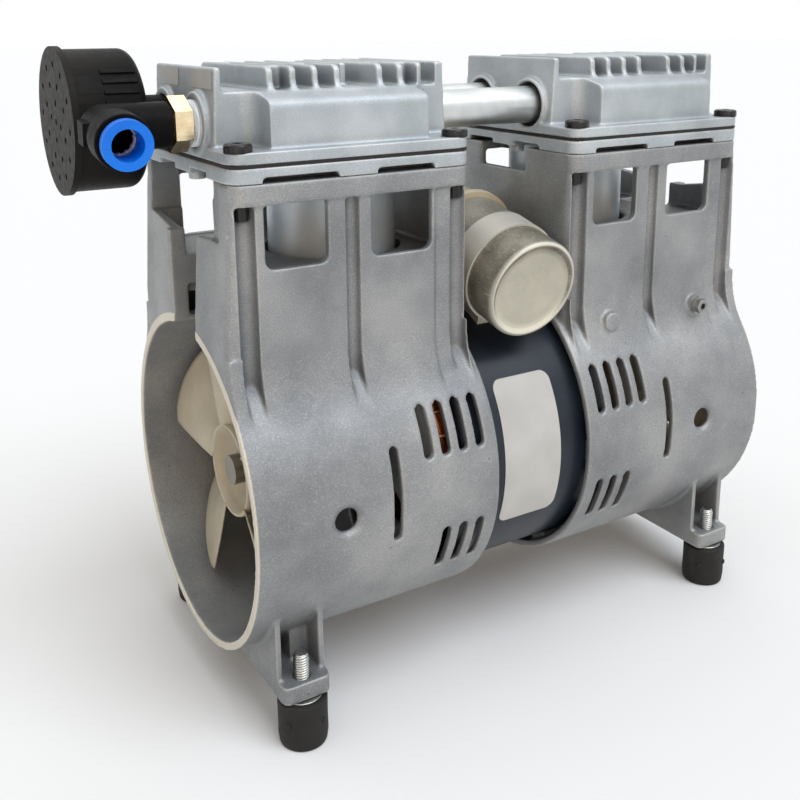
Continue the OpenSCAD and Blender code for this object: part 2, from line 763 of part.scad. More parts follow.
// motor
module motor_shell() {
    color("#2e3742") difference() {
        along_x(-shell_half, shell_r, 2 * shell_half, axis_z);
        along_x(-shell_half - 1, stack_r, 2 * shell_half + 2, axis_z);
    }
}
module stator_stack() {
    teeth = 24;
    slot_mid = rotor_r + 7;
    color("slategray") difference() {
        along_x(-stack_half, stack_r - seat, 2 * stack_half, axis_z);
        along_x(-stack_half - 1, rotor_r + air_gap, 2 * stack_half + 2, axis_z);
        for (k = [0:teeth - 1]) translate([0, 0, axis_z]) rotate([k * 360 / teeth, 0, 0])
            along_x(-stack_half - 1, 2.6, 2 * stack_half + 2, slot_mid);
        for (a = [45:90:315]) translate([0, 0, axis_z]) rotate([a, 0, 0])
            along_x(-stack_half - 1, bolt_r + seat, 2 * stack_half + 2, bolt_mid);
    }
}
module windings() {
    r = (winding[1] - winding[0]) / 2;
    mid = (winding[0] + winding[1]) / 2;
    color("#a5552b") for (s = [-1, 1]) at_end(s) translate([stack_half + seat, 0, axis_z])
        rotate([0, 90, 0]) rotate_extrude() {
            translate([mid - r, 0]) square([2 * r, winding_x - stack_half - r]);
            translate([mid, winding_x - stack_half - r]) circle(r);
        }
}
module tie_bolts() {
    reach = wall_x + wall_t;
    color("silver") for (a = [45:90:315]) translate([0, 0, axis_z]) rotate([a, 0, 0]) {
        along_x(-reach, bolt_r, 2 * reach, bolt_mid);
        for (x = [-reach - bolt_head_h, reach]) translate([x, 0, bolt_mid]) rotate([0, 90, 0])
            cylinder(r = bolt_head_r, h = bolt_head_h, $fn = 6);
    }
}

// everything that turns with the shaft
module shaft() {
    step = bearing_x - clear;
    groove_at = fan_face - hub_depth + seat;
    color("darkgray") difference() {
        union() {
            along_x(-shaft_half, shaft_r, 2 * shaft_half, axis_z);
            along_x(-step, rotor_shaft_r, 2 * step, axis_z);
        }
        for (s = [-1, 1]) at_end(s) difference() {
            along_x(groove_at, shaft_r + 1, clip_t + 2 * seat, axis_z);
            along_x(groove_at - 1, shaft_r - clip_groove, clip_t + 3, axis_z);
        }
    }
}
module rotor() {
    color("slategray") difference() {
        union() {
            along_x(-stack_half, rotor_r, 2 * stack_half, axis_z);
            along_x(-rotor_half - 4, rotor_r - 2, 2 * rotor_half + 8, axis_z);
        }
        along_x(-rotor_half - 5, rotor_shaft_r + seat, 2 * rotor_half + 10, axis_z);
    }
}
// eccentric and its balance weight, with the pin above or below the shaft
module eccentric(up) {
    color("gray") difference() {
        union() {
            along_x(journal_x, journal_r, weight_x - journal_x + eps, axis_z + up * throw);
            intersection() {
                along_x(weight_x, weight_r, weight_t, axis_z);
                translate([weight_x, -weight_r, axis_z + (up > 0 ? -weight_r : -shaft_r - 3)])
                    cube([weight_t, 2 * weight_r, weight_r + shaft_r + 3]);
            }
        }
        along_x(journal_x - 1, shaft_r + seat, 2 * weight_r, axis_z);
    }
}
module left_eccentric() { at_end(-1) eccentric(1); }
module right_eccentric() { at_end(1) eccentric(-1); }

module blade() {
    translate([blade_mid_x, 0, 0]) rotate([0, 0, -blade_pitch])
        translate([-blade_chord / 2, -blade_t / 2, hub_r - 4]) cube([blade_chord, blade_t, fan_r]);
}
module fan() {
    color("#e8dcc4") difference() {
        union() {
            along_x(fan_face - hub_depth - hub_floor, hub_r, hub_depth + hub_floor, axis_z);
            along_x(fan_in_x, fan_boss_r, fan_face - fan_in_x - hub_depth, axis_z);
            intersection() {
                along_x(fan_in_x, fan_r, drum_out - fan_in_x, axis_z);
                for (k = [0:blade_count - 1]) translate([0, 0, axis_z])
                    rotate([blade_first + k * 360 / blade_count, 0, 0]) blade();
            }
        }
        along_x(fan_face - hub_depth, hub_r - hub_wall, hub_depth + hub_floor, axis_z);
        along_x(fan_in_x - hub_r, shaft_r + seat, 3 * hub_r, axis_z);
    }
}
module left_fan() { at_end(-1) fan(); }
module right_fan() { mirror([0, 1, 0]) fan(); }
module fan_clips() {
    color("dimgray") for (s = [-1, 1]) at_end(s) difference() {
        along_x(fan_face - hub_depth + 2 * seat, clip_r, clip_t - 2 * seat, axis_z);
        along_x(fan_face - hub_depth - 1, shaft_r - clip_groove + seat, clip_t + 3, axis_z);
        box([fan_face - hub_depth - 1, fan_face], [-3, 3], [axis_z + 2, axis_z + clip_r + 1]);
    }
}

// connecting rod with its piston head, at the top or bottom of its stroke
module rod(up) {
    lift = up > 0 ? 0 : -2 * throw;
    pin_z = axis_z + up * throw;
    head_low = crown_top - cup_clamp_t - cup_t - piston_t + lift;
    color("lightgray") difference() {
        union() {
            along_x(cyl_x - rod_w / 2, big_end_r, rod_w, pin_z);
            translate([cyl_x - rod_w / 2, -shank_w / 2, pin_z + rod_bearing_r])
                cube([rod_w, shank_w, head_low - pin_z - rod_bearing_r + 1]);
            translate([cyl_x, 0, head_low]) cylinder(r = piston_r, h = piston_t);
        }
        along_x(cyl_x - rod_w / 2 - 1, rod_bearing_r + seat, rod_w + 2, pin_z);
        translate([cyl_x, 0, head_low + 1]) cylinder(r = screw_r + seat, h = piston_t);
    }
}
module left_rod() { at_end(-1) rod(1); }
module right_rod() { at_end(1) rod(-1); }
module rod_bearing(up) {
    color("gainsboro") translate([cyl_x - rod_w / 2, 0, axis_z + up * throw]) rotate([0, 90, 0])
        bearing_ring(rod_bearing_bore, rod_bearing_r, rod_w);
}
module left_rod_bearing() { at_end(-1) rod_bearing(1); }
module right_rod_bearing() { at_end(1) rod_bearing(-1); }
module cup(up) {
    z = crown_top - cup_clamp_t - cup_t + (up > 0 ? 0 : -2 * throw);
    color("#7a5a3a") translate([cyl_x, 0, z]) difference() {
        cylinder(r = bore_r - 0.1, h = cup_lip);
        translate([0, 0, cup_t]) cylinder(r1 = bore_r - 3.4, r2 = bore_r - 1.1, h = cup_lip);
        translate([0, 0, -1]) cylinder(r = screw_r + seat, h = 4);
    }
}
module left_cup() { at_end(-1) cup(1); }
module right_cup() { at_end(1) cup(-1); }
module cup_clamp(up) {
    z = crown_top + (up > 0 ? 0 : -2 * throw);
    screw_l = cup_clamp_t + cup_t + piston_t - 2;
    color("silver") translate([cyl_x, 0, z]) difference() {
        union() {
            translate([0, 0, -cup_clamp_t]) cylinder(r = cup_clamp_r, h = cup_clamp_t);
            translate([0, 0, -screw_l]) cylinder(r = screw_r, h = screw_l);
        }
        translate([0, 0, -1.4]) cylinder(r = 2, h = 3, $fn = 6);
    }
}
module left_cup_clamp() { at_end(-1) cup_clamp(1); }
module right_cup_clamp() { at_end(1) cup_clamp(-1); }

// run capacitor in its strap, on top of the motor shell
module on_motor() { translate([0, 0, axis_z]) rotate([can_tilt, 0, 0]) children(); }
module capacitor_can() {
    rim = 1.6;
    color("#b9b29e") on_motor() translate([0, can_front, can_axis]) rotate([-90, 0, 0])
        rotate_extrude() difference() {
            union() {
                square([can_r - rim, can_l]);
                translate([0, rim]) square([can_r, can_l - rim]);
                translate([can_r - rim, rim]) circle(rim);
            }
            translate([-1, -1]) square([can_r - 2 * rim + 1, 1.7]);
        }
}
module capacitor_cap() {
    back = can_front + can_l + seat;
    color("#e6dcc0") on_motor() {
        along_y(back, cap_flange_r, cap_flange_t, 0, can_axis);
        along_y(back, cap_body_r, can_cap_l, 0, can_axis);
    }
}
module capacitor_strap() {
    color("silver") on_motor() {
        difference() {
            along_y(strap_y - strap_w / 2, can_r + seat + strap_t, strap_w, 0, can_axis);
            along_y(strap_y - strap_w, can_r + seat, 2 * strap_w, 0, can_axis);
            box([-saddle_w / 2, saddle_w / 2], [strap_y - strap_w, strap_y + strap_w],
                [0, shell_r + can_gap]);
        }
        difference() {
            box([-saddle_w / 2 + seat, saddle_w / 2 - seat], saddle_y,
                [shell_r - 4, shell_r + can_gap + 2]);
            along_x(-shell_half, shell_r + seat, 2 * shell_half);
            along_y(-2 * can_l, can_r + seat, 4 * can_l, 0, can_axis);
        }
    }
}

// exhaust muffler on the rear port of the left head
module on_port(y) { translate([0, y, port_z]) children(); }
module muffler_profile(r, l, c) {
    square([r - c, l]);
    square([r, l - c]);
    translate([r - c, l - c]) circle(c);
}
module muffler_body() {
    l = muffler_l - cover_t;
    color("#202020") on_port(port_y) {
        translate([-muffler_face + cover_t, 0, 0]) rotate([0, 90, 0]) rotate_extrude()
            difference() {
                muffler_profile(muffler_body_r, l, muffler_round);
                difference() {
                    muffler_profile(muffler_body_r - muffler_wall, l - muffler_wall,
                        muffler_round - muffler_wall);
                    square([neck_r, l + 1]);
                }
                translate([0, -1]) square([neck_bore, l + 2]);
                translate([0, -1]) square([muffler_body_r - muffler_wall, 5]);
            }
        difference() {
            along_x(-muffler_face + muffler_l - 1, neck_r, muffler_face - muffler_l + 1 - neck_end);
            along_x(-muffler_face, neck_bore, 2 * muffler_l);
        }
        for (k = [0:rib_count - 1]) rotate([-8 - 9 * k, 0, 0])
            translate([-muffler_face + rib_from, -muffler_body_r - 0.7, -0.8]) cube([rib_len, 1.5, 1.6]);
    }
}
module muffler_cover() {
    color("#1a1a1a") on_port(port_y) difference() {
        along_x(-muffler_face, muffler_r, cover_t - seat);
        along_x(-muffler_face + 1.2, muffler_body_r - muffler_wall, cover_t);
        for (ring = [1:3], k = [0:ring * 4 - 1])
            rotate([k * 90 / ring + 12 * ring, 0, 0])
                along_x(-muffler_face - 1, vent_hole_r, 5, ring * 6.8);
        along_x(-muffler_face - 1, vent_hole_r, 5);
    }
}
module muffler_felt() {
    color("gray") on_port(port_y) difference() {
        along_x(-muffler_face + cover_t + felt_gap, muffler_body_r - muffler_wall - felt_side, felt_l);
        along_x(-muffler_face, neck_r + 0.5, 2 * muffler_l);
    }
}

// push in elbow on the front port of the left head
module fitting_stud() {
    neck = hex_x + hex_l + swivel_l;
    color("#c9b27a") on_port(-port_y) difference() {
        union() {
            along_x(-hex_x - 0.5, thread_r, hex_x + 0.5 - neck_end);
            translate([-hex_x - hex_l, 0, 0]) rotate([0, 90, 0])
                cylinder(r = hex_af / sqrt(3), h = hex_l, $fn = 6);
            along_x(-neck, swivel_r, swivel_l + 1);
        }
        along_x(-neck - 1, swivel_r - 2, neck);
    }
}
module thread_tape() {
    color("white") on_port(-port_y) difference() {
        along_x(-hex_x + 0.4, thread_r + tape_t, hex_x - 0.4 - neck_end - 1);
        along_x(-hex_x, thread_r + seat, hex_x);
    }
}
// pieces of the elbow turn about the port axis, and its outlet points a little down
module on_elbow() {
    on_port(-port_y) rotate([outlet_tilt, 0, 0]) translate([-bend_x, 0, 0]) children();
}
elbow_start = bend_x - hex_x - hex_l - clear;
outlet_end = outlet_l - ring_t - ring_gap;
module fitting_elbow() {
    color("#242424") on_elbow() difference() {
        union() {
            along_x(0, barrel_r, elbow_start);
            sphere(barrel_r);
            along_y(-outlet_end + 9, barrel_r, outlet_end - 9);
            along_y(-outlet_end, outlet_r, 9.5);
            box([-barrel_r - 1.2, -barrel_r + 4], [-9, -2], [-4, 4]);
        }
        along_x(elbow_start - swivel_l - 1, swivel_r + run_fit, swivel_l + 2);
        along_x(0, swivel_r - 2, elbow_start);
        along_y(-outlet_end - 1, hose_r + hose_fit, outlet_end - 5);
        along_y(-6.1, swivel_r - 2, 6.1);
        along_y(-outlet_end - 1, ring_sleeve_r + run_fit, ring_sleeve_l + ring_travel + 1.4);
        along_y(-outlet_end + ring_sleeve_l + ring_travel + 0.3, ring_sleeve_r + 0.6, 1.4);
    }
}
module fitting_collet() {
    y = -outlet_end + ring_sleeve_l + ring_travel + 0.3 + seat;
    color("white") on_elbow() difference() {
        along_y(y, ring_sleeve_r + 0.5, 1.3);
        along_y(y - 1, hose_r + hose_fit, 4);
    }
}
module release_ring() {
    color("#1668c8") on_elbow() difference() {
        union() {
            along_y(-outlet_l, ring_r, ring_t);
            along_y(-outlet_l, ring_sleeve_r, ring_t + ring_gap + ring_sleeve_l);
        }
        along_y(-outlet_l - 1, hose_r + 0.3, 30);
    }
}

// labels without writing
module rating_label() {
    mid_x = (label_x[0] + label_x[1]) / 2;
    mid_z = (label_z[0] + label_z[1]) / 2;
    color("whitesmoke") intersection() {
        difference() {
            along_x(-shell_half, shell_r + seat + label_t, 2 * shell_half, axis_z);
            along_x(-shell_half - 1, shell_r + seat, 2 * shell_half + 2, axis_z);
        }
        translate([mid_x, 0, mid_z]) rotate([90, 0, 0]) linear_extrude(shell_r + 10)
            round_square(label_x[1] - label_x[0], label_z[1] - label_z[0], label_r);
    }
}
module port_labels() {
    color("whitesmoke") over_tower(-1)
        translate([-half_l + 1, 0, gasket_z]) rotate([0, atan(box_draft / head_h), 0])
            for (y = port_label_y)
                translate([-label_t - port_label_gap, y - port_label[0] / 2,
                    head_h - port_label_drop - port_label[1]])
                    cube([label_t, port_label[0], port_label[1]]);
}

// rubber feet with their studs
module feet() {
    color("#1c1c1c") for (i = [-1, 1], j = [-1, 1]) translate([i * foot_x, j * foot_y, 0])
        difference() {
            union() {
                cylinder(r1 = foot_r - 1, r2 = foot_r, h = 1);
                translate([0, 0, 1]) cylinder(r = foot_r, h = foot_top - 1);
            }
            translate([0, 0, -1]) cylinder(r = insert_r, h = insert_depth + 1);
            translate([0, 0, stud_in_foot]) cylinder(r = stud_r + seat, h = foot_top);
        }
}
module foot_studs() {
    color("lightgray") for (i = [-1, 1], j = [-1, 1]) translate([i * foot_x, j * foot_y, 0]) {
        translate([0, 0, stud_in_foot + seat])
            cylinder(r = stud_r, h = stud_top - stud_in_foot - 1);
        translate([0, 0, stud_top - 1]) cylinder(r1 = stud_r, r2 = stud_r - 0.7, h = 1);
        translate([0, 0, foot_top + seat]) cylinder(r = plate_disc_r, h = lug_z - foot_top - 2 * seat);
    }
}
module ground_screw() {
    color("lightgray") translate([boss_x[1], -boss_y - seat, boss_z]) rotate([90, 0, 0])
        difference() {
            union() {
                cylinder(r = 3.9, h = 1);
                cylinder(r = 3.4, h = 3.6, $fn = 6);
                translate([0, 0, -ground_l]) cylinder(r = ground_r, h = ground_l + 1);
            }
            translate([0, 0, 2.2]) cylinder(r = 1.3, h = 3);
        }
}

left_housing();
right_housing();
left_cylinder();
right_cylinder();
cylinder_seals();
left_valve_plate();
right_valve_plate();
left_gasket();
right_gasket();
left_head();
right_head();
head_screws();
front_tube();
rear_tube();
tube_seals();
reed_clamps();
left_intake_reed();
right_intake_reed();
left_exhaust_reed();
right_exhaust_reed();
left_main_bearing();
right_main_bearing();
motor_shell();
stator_stack();
windings();
tie_bolts();
shaft();
rotor();
left_eccentric();
right_eccentric();
left_fan();
right_fan();
fan_clips();
left_rod();
right_rod();
left_rod_bearing();
right_rod_bearing();
left_cup();
right_cup();
left_cup_clamp();
right_cup_clamp();
capacitor_can();
capacitor_cap();
capacitor_strap();
muffler_body();
muffler_cover();
muffler_felt();
fitting_stud();
thread_tape();
fitting_elbow();
fitting_collet();
release_ring();
rating_label();
port_labels();
feet();
foot_studs();
ground_screw();
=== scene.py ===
import json
import math
import random

import bmesh
import bpy
from mathutils import Matrix, Vector


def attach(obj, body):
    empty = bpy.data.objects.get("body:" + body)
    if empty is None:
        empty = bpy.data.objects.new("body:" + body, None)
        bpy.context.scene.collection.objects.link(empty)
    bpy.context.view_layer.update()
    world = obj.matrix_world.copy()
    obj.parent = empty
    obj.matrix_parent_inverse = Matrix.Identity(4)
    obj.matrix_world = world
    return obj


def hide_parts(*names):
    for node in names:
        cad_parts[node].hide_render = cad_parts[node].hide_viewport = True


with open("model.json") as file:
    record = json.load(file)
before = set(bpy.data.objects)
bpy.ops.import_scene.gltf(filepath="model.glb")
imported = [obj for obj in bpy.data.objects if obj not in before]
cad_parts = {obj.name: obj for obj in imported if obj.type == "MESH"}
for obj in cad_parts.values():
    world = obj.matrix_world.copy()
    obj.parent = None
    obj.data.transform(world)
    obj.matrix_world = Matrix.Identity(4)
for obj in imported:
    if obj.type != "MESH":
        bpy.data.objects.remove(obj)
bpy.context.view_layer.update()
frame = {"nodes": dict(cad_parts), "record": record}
NODES = frame["nodes"]

# Sizes are in millimetres, in the frame of the part: X along the shaft, -Y the front, Z up.
MM = 0.001
TURN = 2 * math.pi
# the height of the shaft, the drum's outside and end, and the middles of a tower and its cylinder
AXIS_Z = 86.3
DRUM_R, DRUM_END, TOWER_X, CYLINDER_X = 66.0, 124.8, 73.0, 60.5
# the round in which a tower's foot runs out into the drum, and its middle seen from the shaft
SWELL_R, SWELL_MID = 45.0, (92.0, 62.1)
FAN_TIP_R, FAN_HUB_R = 59.2, 19.0
# the capacitor: its lean, its front end, its length and its height over the shaft
CAN_TILT = math.radians(14)
CAN_FRONT, CAN_L, CAN_UP = -36.1, 47.5, 82.6
# the intake port, the face that its sealing tape starts from, and the elbow with its outlet
PORT_Y, PORT_Z, TAPE_FACE = 16.85, 226.9, 124.15
BEND_X, OUTLET_TILT = 152.5, math.radians(7)
# the rubber feet
FOOT_X, FOOT_Y = 106.2, 56.8

# The photograph's camera, solved from the straight and round edges of the pump.
CAMERA_AT = (-238.431, -350.497, 258.493)
CAMERA_YAW, CAMERA_PITCH, CAMERA_ROLL = 0.54, 0.24, -0.008
FOCAL_PX, FRAME_PX, SENSOR_MM, PRINCIPAL_ROW = 989.126, 800, 36.0, 270.0


def linear(hex_colour):
    """An sRGB hex colour as linear red, green, blue and alpha."""
    parts = [int(hex_colour[i:i + 2], 16) / 255 for i in (0, 2, 4)]
    return [((c + 0.055) / 1.055) ** 2.4 if c > 0.04045 else c / 12.92 for c in parts] + [1.0]


def wire(tree, node, sockets):
    """Sets or links a node's inputs: a hex colour, a number, a vector, or the output that feeds it."""
    for key, value in sockets.items():
        if isinstance(value, bpy.types.NodeSocket):
            tree.links.new(value, node.inputs[key])
        else:
            node.inputs[key].default_value = linear(value) if isinstance(value, str) else value


def add(tree, kind, sockets, out=0, stops=(), **settings):
    """Adds a node with its settings, links and colour stops, and gives back one of its outputs."""
    node = tree.nodes.new("ShaderNode" + kind)
    for key, value in settings.items():
        setattr(node, key, value)
    for i, (at, colour) in enumerate(stops):
        if i >= len(node.color_ramp.elements):
            node.color_ramp.elements.new(at)
        stop = node.color_ramp.elements[i]
        stop.position = at
        stop.color = linear(colour) if isinstance(colour, str) else (colour,) * 3 + (1,)
    wire(tree, node, sockets)
    return node.outputs[out]


# MATERIALS
def finish_of(name):
    """A new material with its tree, its shader, and the point on the object in millimetres."""
    material = bpy.data.materials.new(name)
    material.use_nodes = True
    tree = material.node_tree
    point = add(tree, "TexCoord", {}, "Object")
    point = add(tree, "VectorMath", {0: point, 1: (1 / MM,) * 3}, operation="MULTIPLY")
    return material, tree, tree.nodes["Principled BSDF"], point


def cast_aluminium(name, dark, mid, light, worn, edge=0.45):
    """Die cast aluminium, tumbled: even satin grey with sandy grain, rubbed edges and painted shade in its
    grooves.
    """
    material, tree, shader, mm = finish_of(name)
    # flow marks about 40 mm across, stains about 9 mm; the tumbled grain is 0.3 mm wide, and is
    # drawn at 0.5 mm to show
    flow = add(tree, "TexNoise", {"Vector": mm, "Scale": 1 / 40, "Detail": 4, "Roughness": 0.55})
    stain = add(tree, "TexNoise", {"Vector": mm, "Scale": 1 / 9, "Detail": 5, "Roughness": 0.65})
    grain = add(tree, "TexNoise", {"Vector": mm, "Scale": 1 / 0.5, "Detail": 3, "Roughness": 0.7})
    colour = add(tree, "ValToRGB", {"Fac": flow}, stops=((0.34, dark), (0.5, mid), (0.66, light)))
    patchy = add(tree, "ValToRGB", {"Fac": stain}, stops=((0.5, 0.0), (0.74, 0.3)))
    colour = add(tree, "Mix", {0: patchy, 6: colour, 7: light}, 2, data_type="RGBA")
    speck = add(tree, "ValToRGB", {"Fac": grain},
                stops=((0.34, 0.5), (0.49, 0.0), (0.53, 0.0), (0.7, 0.32)))
    shade = add(tree, "ValToRGB", {"Fac": grain}, stops=((0.49, dark), (0.51, worn)))
    colour = add(tree, "Mix", {0: speck, 6: colour, 7: shade}, 2, data_type="RGBA")
    # gas pits that open at the surface, up to 1 mm wide and about 11 mm apart
    cell = add(tree, "TexVoronoi", {"Vector": mm, "Scale": 1 / 11})
    pit = add(tree, "ValToRGB", {"Fac": cell}, stops=((0.02, 0.8), (0.045, 0.0)))
    colour = add(tree, "Mix", {0: pit, 6: colour, 7: "4A4B4B"}, 2, data_type="RGBA")
    # grooves and corners up to 7 mm deep are painted a darker blue grey, as painted shade from ambient
    # occlusion
    occlusion_shade = add(tree, "AmbientOcclusion", {"Distance": 7 * MM}, "AO", samples=6)
    painted_groove_shade = add(tree, "ValToRGB", {"Fac": occlusion_shade}, stops=((0.3, 0.7), (0.78, 0.0)))
    colour = add(tree, "Mix", {0: painted_groove_shade, 6: colour, 7: "4E555D"}, 2, data_type="RGBA")
    # edges are rubbed bright in dashes about 5 mm long
    point = add(tree, "NewGeometry", {}, "Pointiness")
    rubbed = add(tree, "ValToRGB", {"Fac": point}, stops=((0.52, 0.0), (0.575, edge)))
    dashes = add(tree, "ValToRGB", {"Fac": stain}, stops=((0.4, 0.45), (0.56, 1.0)))
    rubbed = add(tree, "Math", {0: rubbed, 1: dashes}, operation="MULTIPLY")
    colour = add(tree, "Mix", {0: rubbed, 6: colour, 7: worn}, 2, data_type="RGBA")
    # the rim of the drum, faced in a lathe, is bright
    side = add(tree, "VectorMath", {0: mm, 1: (1, 0, 0)}, "Value", operation="DOT_PRODUCT")
    side = add(tree, "Math", {0: side}, operation="ABSOLUTE")
    rim = add(tree, "MapRange", {"Value": side, "From Min": DRUM_END - 0.9, "From Max": DRUM_END - 0.3})
    spoke = add(tree, "VectorMath", {0: mm, 1: (0, 0, AXIS_Z)}, operation="SUBTRACT")
    spoke = add(tree, "VectorMath", {0: spoke, 1: (0, 1, 1)}, operation="MULTIPLY")
    spoke = add(tree, "VectorMath", {0: spoke}, "Value", operation="LENGTH")
    spoke = add(tree, "Math", {0: spoke, 1: DRUM_R + 0.5}, operation="LESS_THAN")
    rim = add(tree, "Math", {0: rim, 1: spoke}, operation="MULTIPLY")
    rim = add(tree, "Math", {0: rim, 1: 0.75}, operation="MULTIPLY")
    colour = add(tree, "Mix", {0: rim, 6: colour, 7: "E4DDCA"}, 2, data_type="RGBA")
    rough = add(tree, "ValToRGB", {"Fac": stain}, stops=((0.3, 0.52), (0.7, 0.42)))
    height = add(tree, "Bump", {"Height": grain, "Distance": 0.12 * MM, "Strength": 0.9})
    height = add(tree, "Bump", {"Height": stain, "Distance": 0.2 * MM, "Strength": 0.3, "Normal": height})
    wire(tree, shader, {"Base Color": colour, "Roughness": rough, "Metallic": 0.45, "Normal": height})
    return material


def anodised_cylinder():
    """Clear anodised aluminium, turned: pale even blue grey with faint rings every 0.6 mm."""
    material, tree, shader, mm = finish_of("anodised_turned_aluminium")
    across = add(tree, "VectorMath", {0: mm, 1: (0.02, 0.02, 1)}, operation="MULTIPLY")
    rings = add(tree, "TexNoise", {"Vector": across, "Scale": 1 / 0.6, "Detail": 2})
    cloud = add(tree, "TexNoise", {"Vector": mm, "Scale": 1 / 20, "Detail": 4})
    # partly the metal's pale blue grey, partly painted light: the tone is raised near white to make up for
    # the shade inside the tower
    colour = add(tree, "ValToRGB", {"Fac": cloud}, stops=((0.3, "D6E8F4"), (0.7, "EDF6FC")))
    rough = add(tree, "ValToRGB", {"Fac": rings}, stops=((0.3, 0.3), (0.7, 0.42)))
    height = add(tree, "Bump", {"Height": rings, "Distance": 0.02 * MM, "Strength": 0.4})
    wire(tree, shader, {"Base Color": colour, "Roughness": rough, "Metallic": 0.15, "Normal": height})
    return material


def drawn_tube():
    """Drawn aluminium tube: bright, with fine lines along it and soft dull patches from handling."""
    material, tree, shader, mm = finish_of("drawn_aluminium_tube")
    # lines from the die 0.4 mm apart, and patches the size of a fingertip
    along = add(tree, "VectorMath", {0: mm, 1: (0.03, 1, 1)}, operation="MULTIPLY")
    lines = add(tree, "TexNoise", {"Vector": along, "Scale": 1 / 0.4, "Detail": 2})
    dull = add(tree, "TexNoise", {"Vector": mm, "Scale": 1 / 12, "Detail": 5})
    colour = add(tree, "ValToRGB", {"Fac": dull}, stops=((0.3, "BEC3C4"), (0.7, "DADCDA")))
    rough = add(tree, "ValToRGB", {"Fac": lines}, stops=((0.3, 0.3), (0.7, 0.42)))
    height = add(tree, "Bump", {"Height": lines, "Distance": 0.02 * MM, "Strength": 0.4})
    wire(tree, shader, {"Base Color": colour, "Roughness": rough, "Metallic": 1.0, "Normal": height})
    return material


def metal(name, low, high, patch, rough, grain, stretch=(1, 1, 1), metallic=1.0, edge="C8C8C4"):
    """Bare or plated steel, brass and copper: two tones in patches, and fine machining marks, with
    the width of both in millimetres."""
    material, tree, shader, mm = finish_of(name)
    cloud = add(tree, "TexNoise", {"Vector": mm, "Scale": 1 / patch, "Detail": 4})
    along = add(tree, "VectorMath", {0: mm, 1: stretch}, operation="MULTIPLY")
    marks = add(tree, "TexNoise", {"Vector": along, "Scale": 1 / grain, "Detail": 2})
    colour = add(tree, "ValToRGB", {"Fac": cloud}, stops=((0.32, low), (0.68, high)))
    point = add(tree, "NewGeometry", {}, "Pointiness")
    rubbed = add(tree, "ValToRGB", {"Fac": point}, stops=((0.53, 0.0), (0.62, 0.55)))
    colour = add(tree, "Mix", {0: rubbed, 6: colour, 7: edge}, 2, data_type="RGBA")
    gloss = add(tree, "ValToRGB", {"Fac": marks}, stops=((0.3, rough - 0.07), (0.7, rough + 0.09)))
    height = add(tree, "Bump", {"Height": marks, "Distance": 0.02 * MM, "Strength": 0.4})
    wire(tree, shader, {"Base Color": colour, "Roughness": gloss, "Metallic": metallic, "Normal": height})
    return material


def motor_enamel():
    """Dark blue enamel sprayed on rolled sheet steel: smooth, with slight orange peel and some dust."""
    material, tree, shader, mm = finish_of("sprayed_motor_enamel")
    # orange peel is about 1.6 mm from hump to hump; dust of 0.1 mm is drawn at 1.3 mm to show
    tone = add(tree, "TexNoise", {"Vector": mm, "Scale": 1 / 28, "Detail": 4})
    dust = add(tree, "TexNoise", {"Vector": mm, "Scale": 1 / 1.3, "Detail": 5, "Roughness": 0.75})
    peel = add(tree, "TexNoise", {"Vector": mm, "Scale": 1 / 1.6, "Detail": 1})
    colour = add(tree, "ValToRGB", {"Fac": tone}, stops=((0.35, "1B222B"), (0.7, "29323D")))
    veil = add(tree, "ValToRGB", {"Fac": dust}, stops=((0.6, 0.0), (0.8, 0.25)))
    colour = add(tree, "Mix", {0: veil, 6: colour, 7: "747A80"}, 2, data_type="RGBA")
    height = add(tree, "Bump", {"Height": peel, "Distance": 0.03 * MM, "Strength": 0.4})
    wire(tree, shader, {"Base Color": colour, "Roughness": 0.32, "Specular IOR Level": 0.3,
                        "Normal": height})
    return material


def drawn_can():
    """Deep drawn aluminium can, much handled: dull warm grey, scuffed, with fine scratches along it."""
    material, tree, shader, mm = finish_of("deep_drawn_aluminium_can")
    # scuffs about 10 mm across; scratches of 0.1 mm are drawn at 0.6 mm to show
    scuff = add(tree, "TexNoise", {"Vector": mm, "Scale": 1 / 10, "Detail": 6, "Roughness": 0.62})
    along = add(tree, "VectorMath", {0: mm, 1: (1, 0.05, 1)}, operation="MULTIPLY")
    scratch = add(tree, "TexNoise", {"Vector": along, "Scale": 1 / 0.6, "Detail": 3, "Roughness": 0.7})
    colour = add(tree, "ValToRGB", {"Fac": scuff},
                 stops=((0.3, "5F5B50"), (0.5, "757163"), (0.7, "8E8A7A")))
    # what faces the front, as the flat end does, is painted paler than the wall: painted light, a pool of
    # the front daylight
    towards_front_daylight = add(tree, "NewGeometry", {}, "Normal")
    towards_front_daylight = add(tree, "VectorMath", {0: towards_front_daylight, 1: (0, -0.97, 0.24)}, "Value", operation="DOT_PRODUCT")
    end = add(tree, "ValToRGB", {"Fac": towards_front_daylight}, stops=((0.8, 0.0), (0.96, 0.8)))
    colour = add(tree, "Mix", {0: end, 6: colour, 7: "F2EFDC"}, 2, data_type="RGBA")
    bright = add(tree, "ValToRGB", {"Fac": scratch}, stops=((0.56, 0.0), (0.75, 0.45)))
    colour = add(tree, "Mix", {0: bright, 6: colour, 7: "DEDCD2"}, 2, data_type="RGBA")
    point = add(tree, "NewGeometry", {}, "Pointiness")
    rubbed = add(tree, "ValToRGB", {"Fac": point}, stops=((0.515, 0.0), (0.57, 0.7)))
    colour = add(tree, "Mix", {0: rubbed, 6: colour, 7: "D9D7CD"}, 2, data_type="RGBA")
    rough = add(tree, "ValToRGB", {"Fac": scuff}, stops=((0.3, 0.36), (0.7, 0.52)))
    height = add(tree, "Bump", {"Height": scratch, "Distance": 0.03 * MM, "Strength": 0.4})
    wire(tree, shader, {"Base Color": colour, "Roughness": rough, "Metallic": 0.25, "Normal": height})
    return material


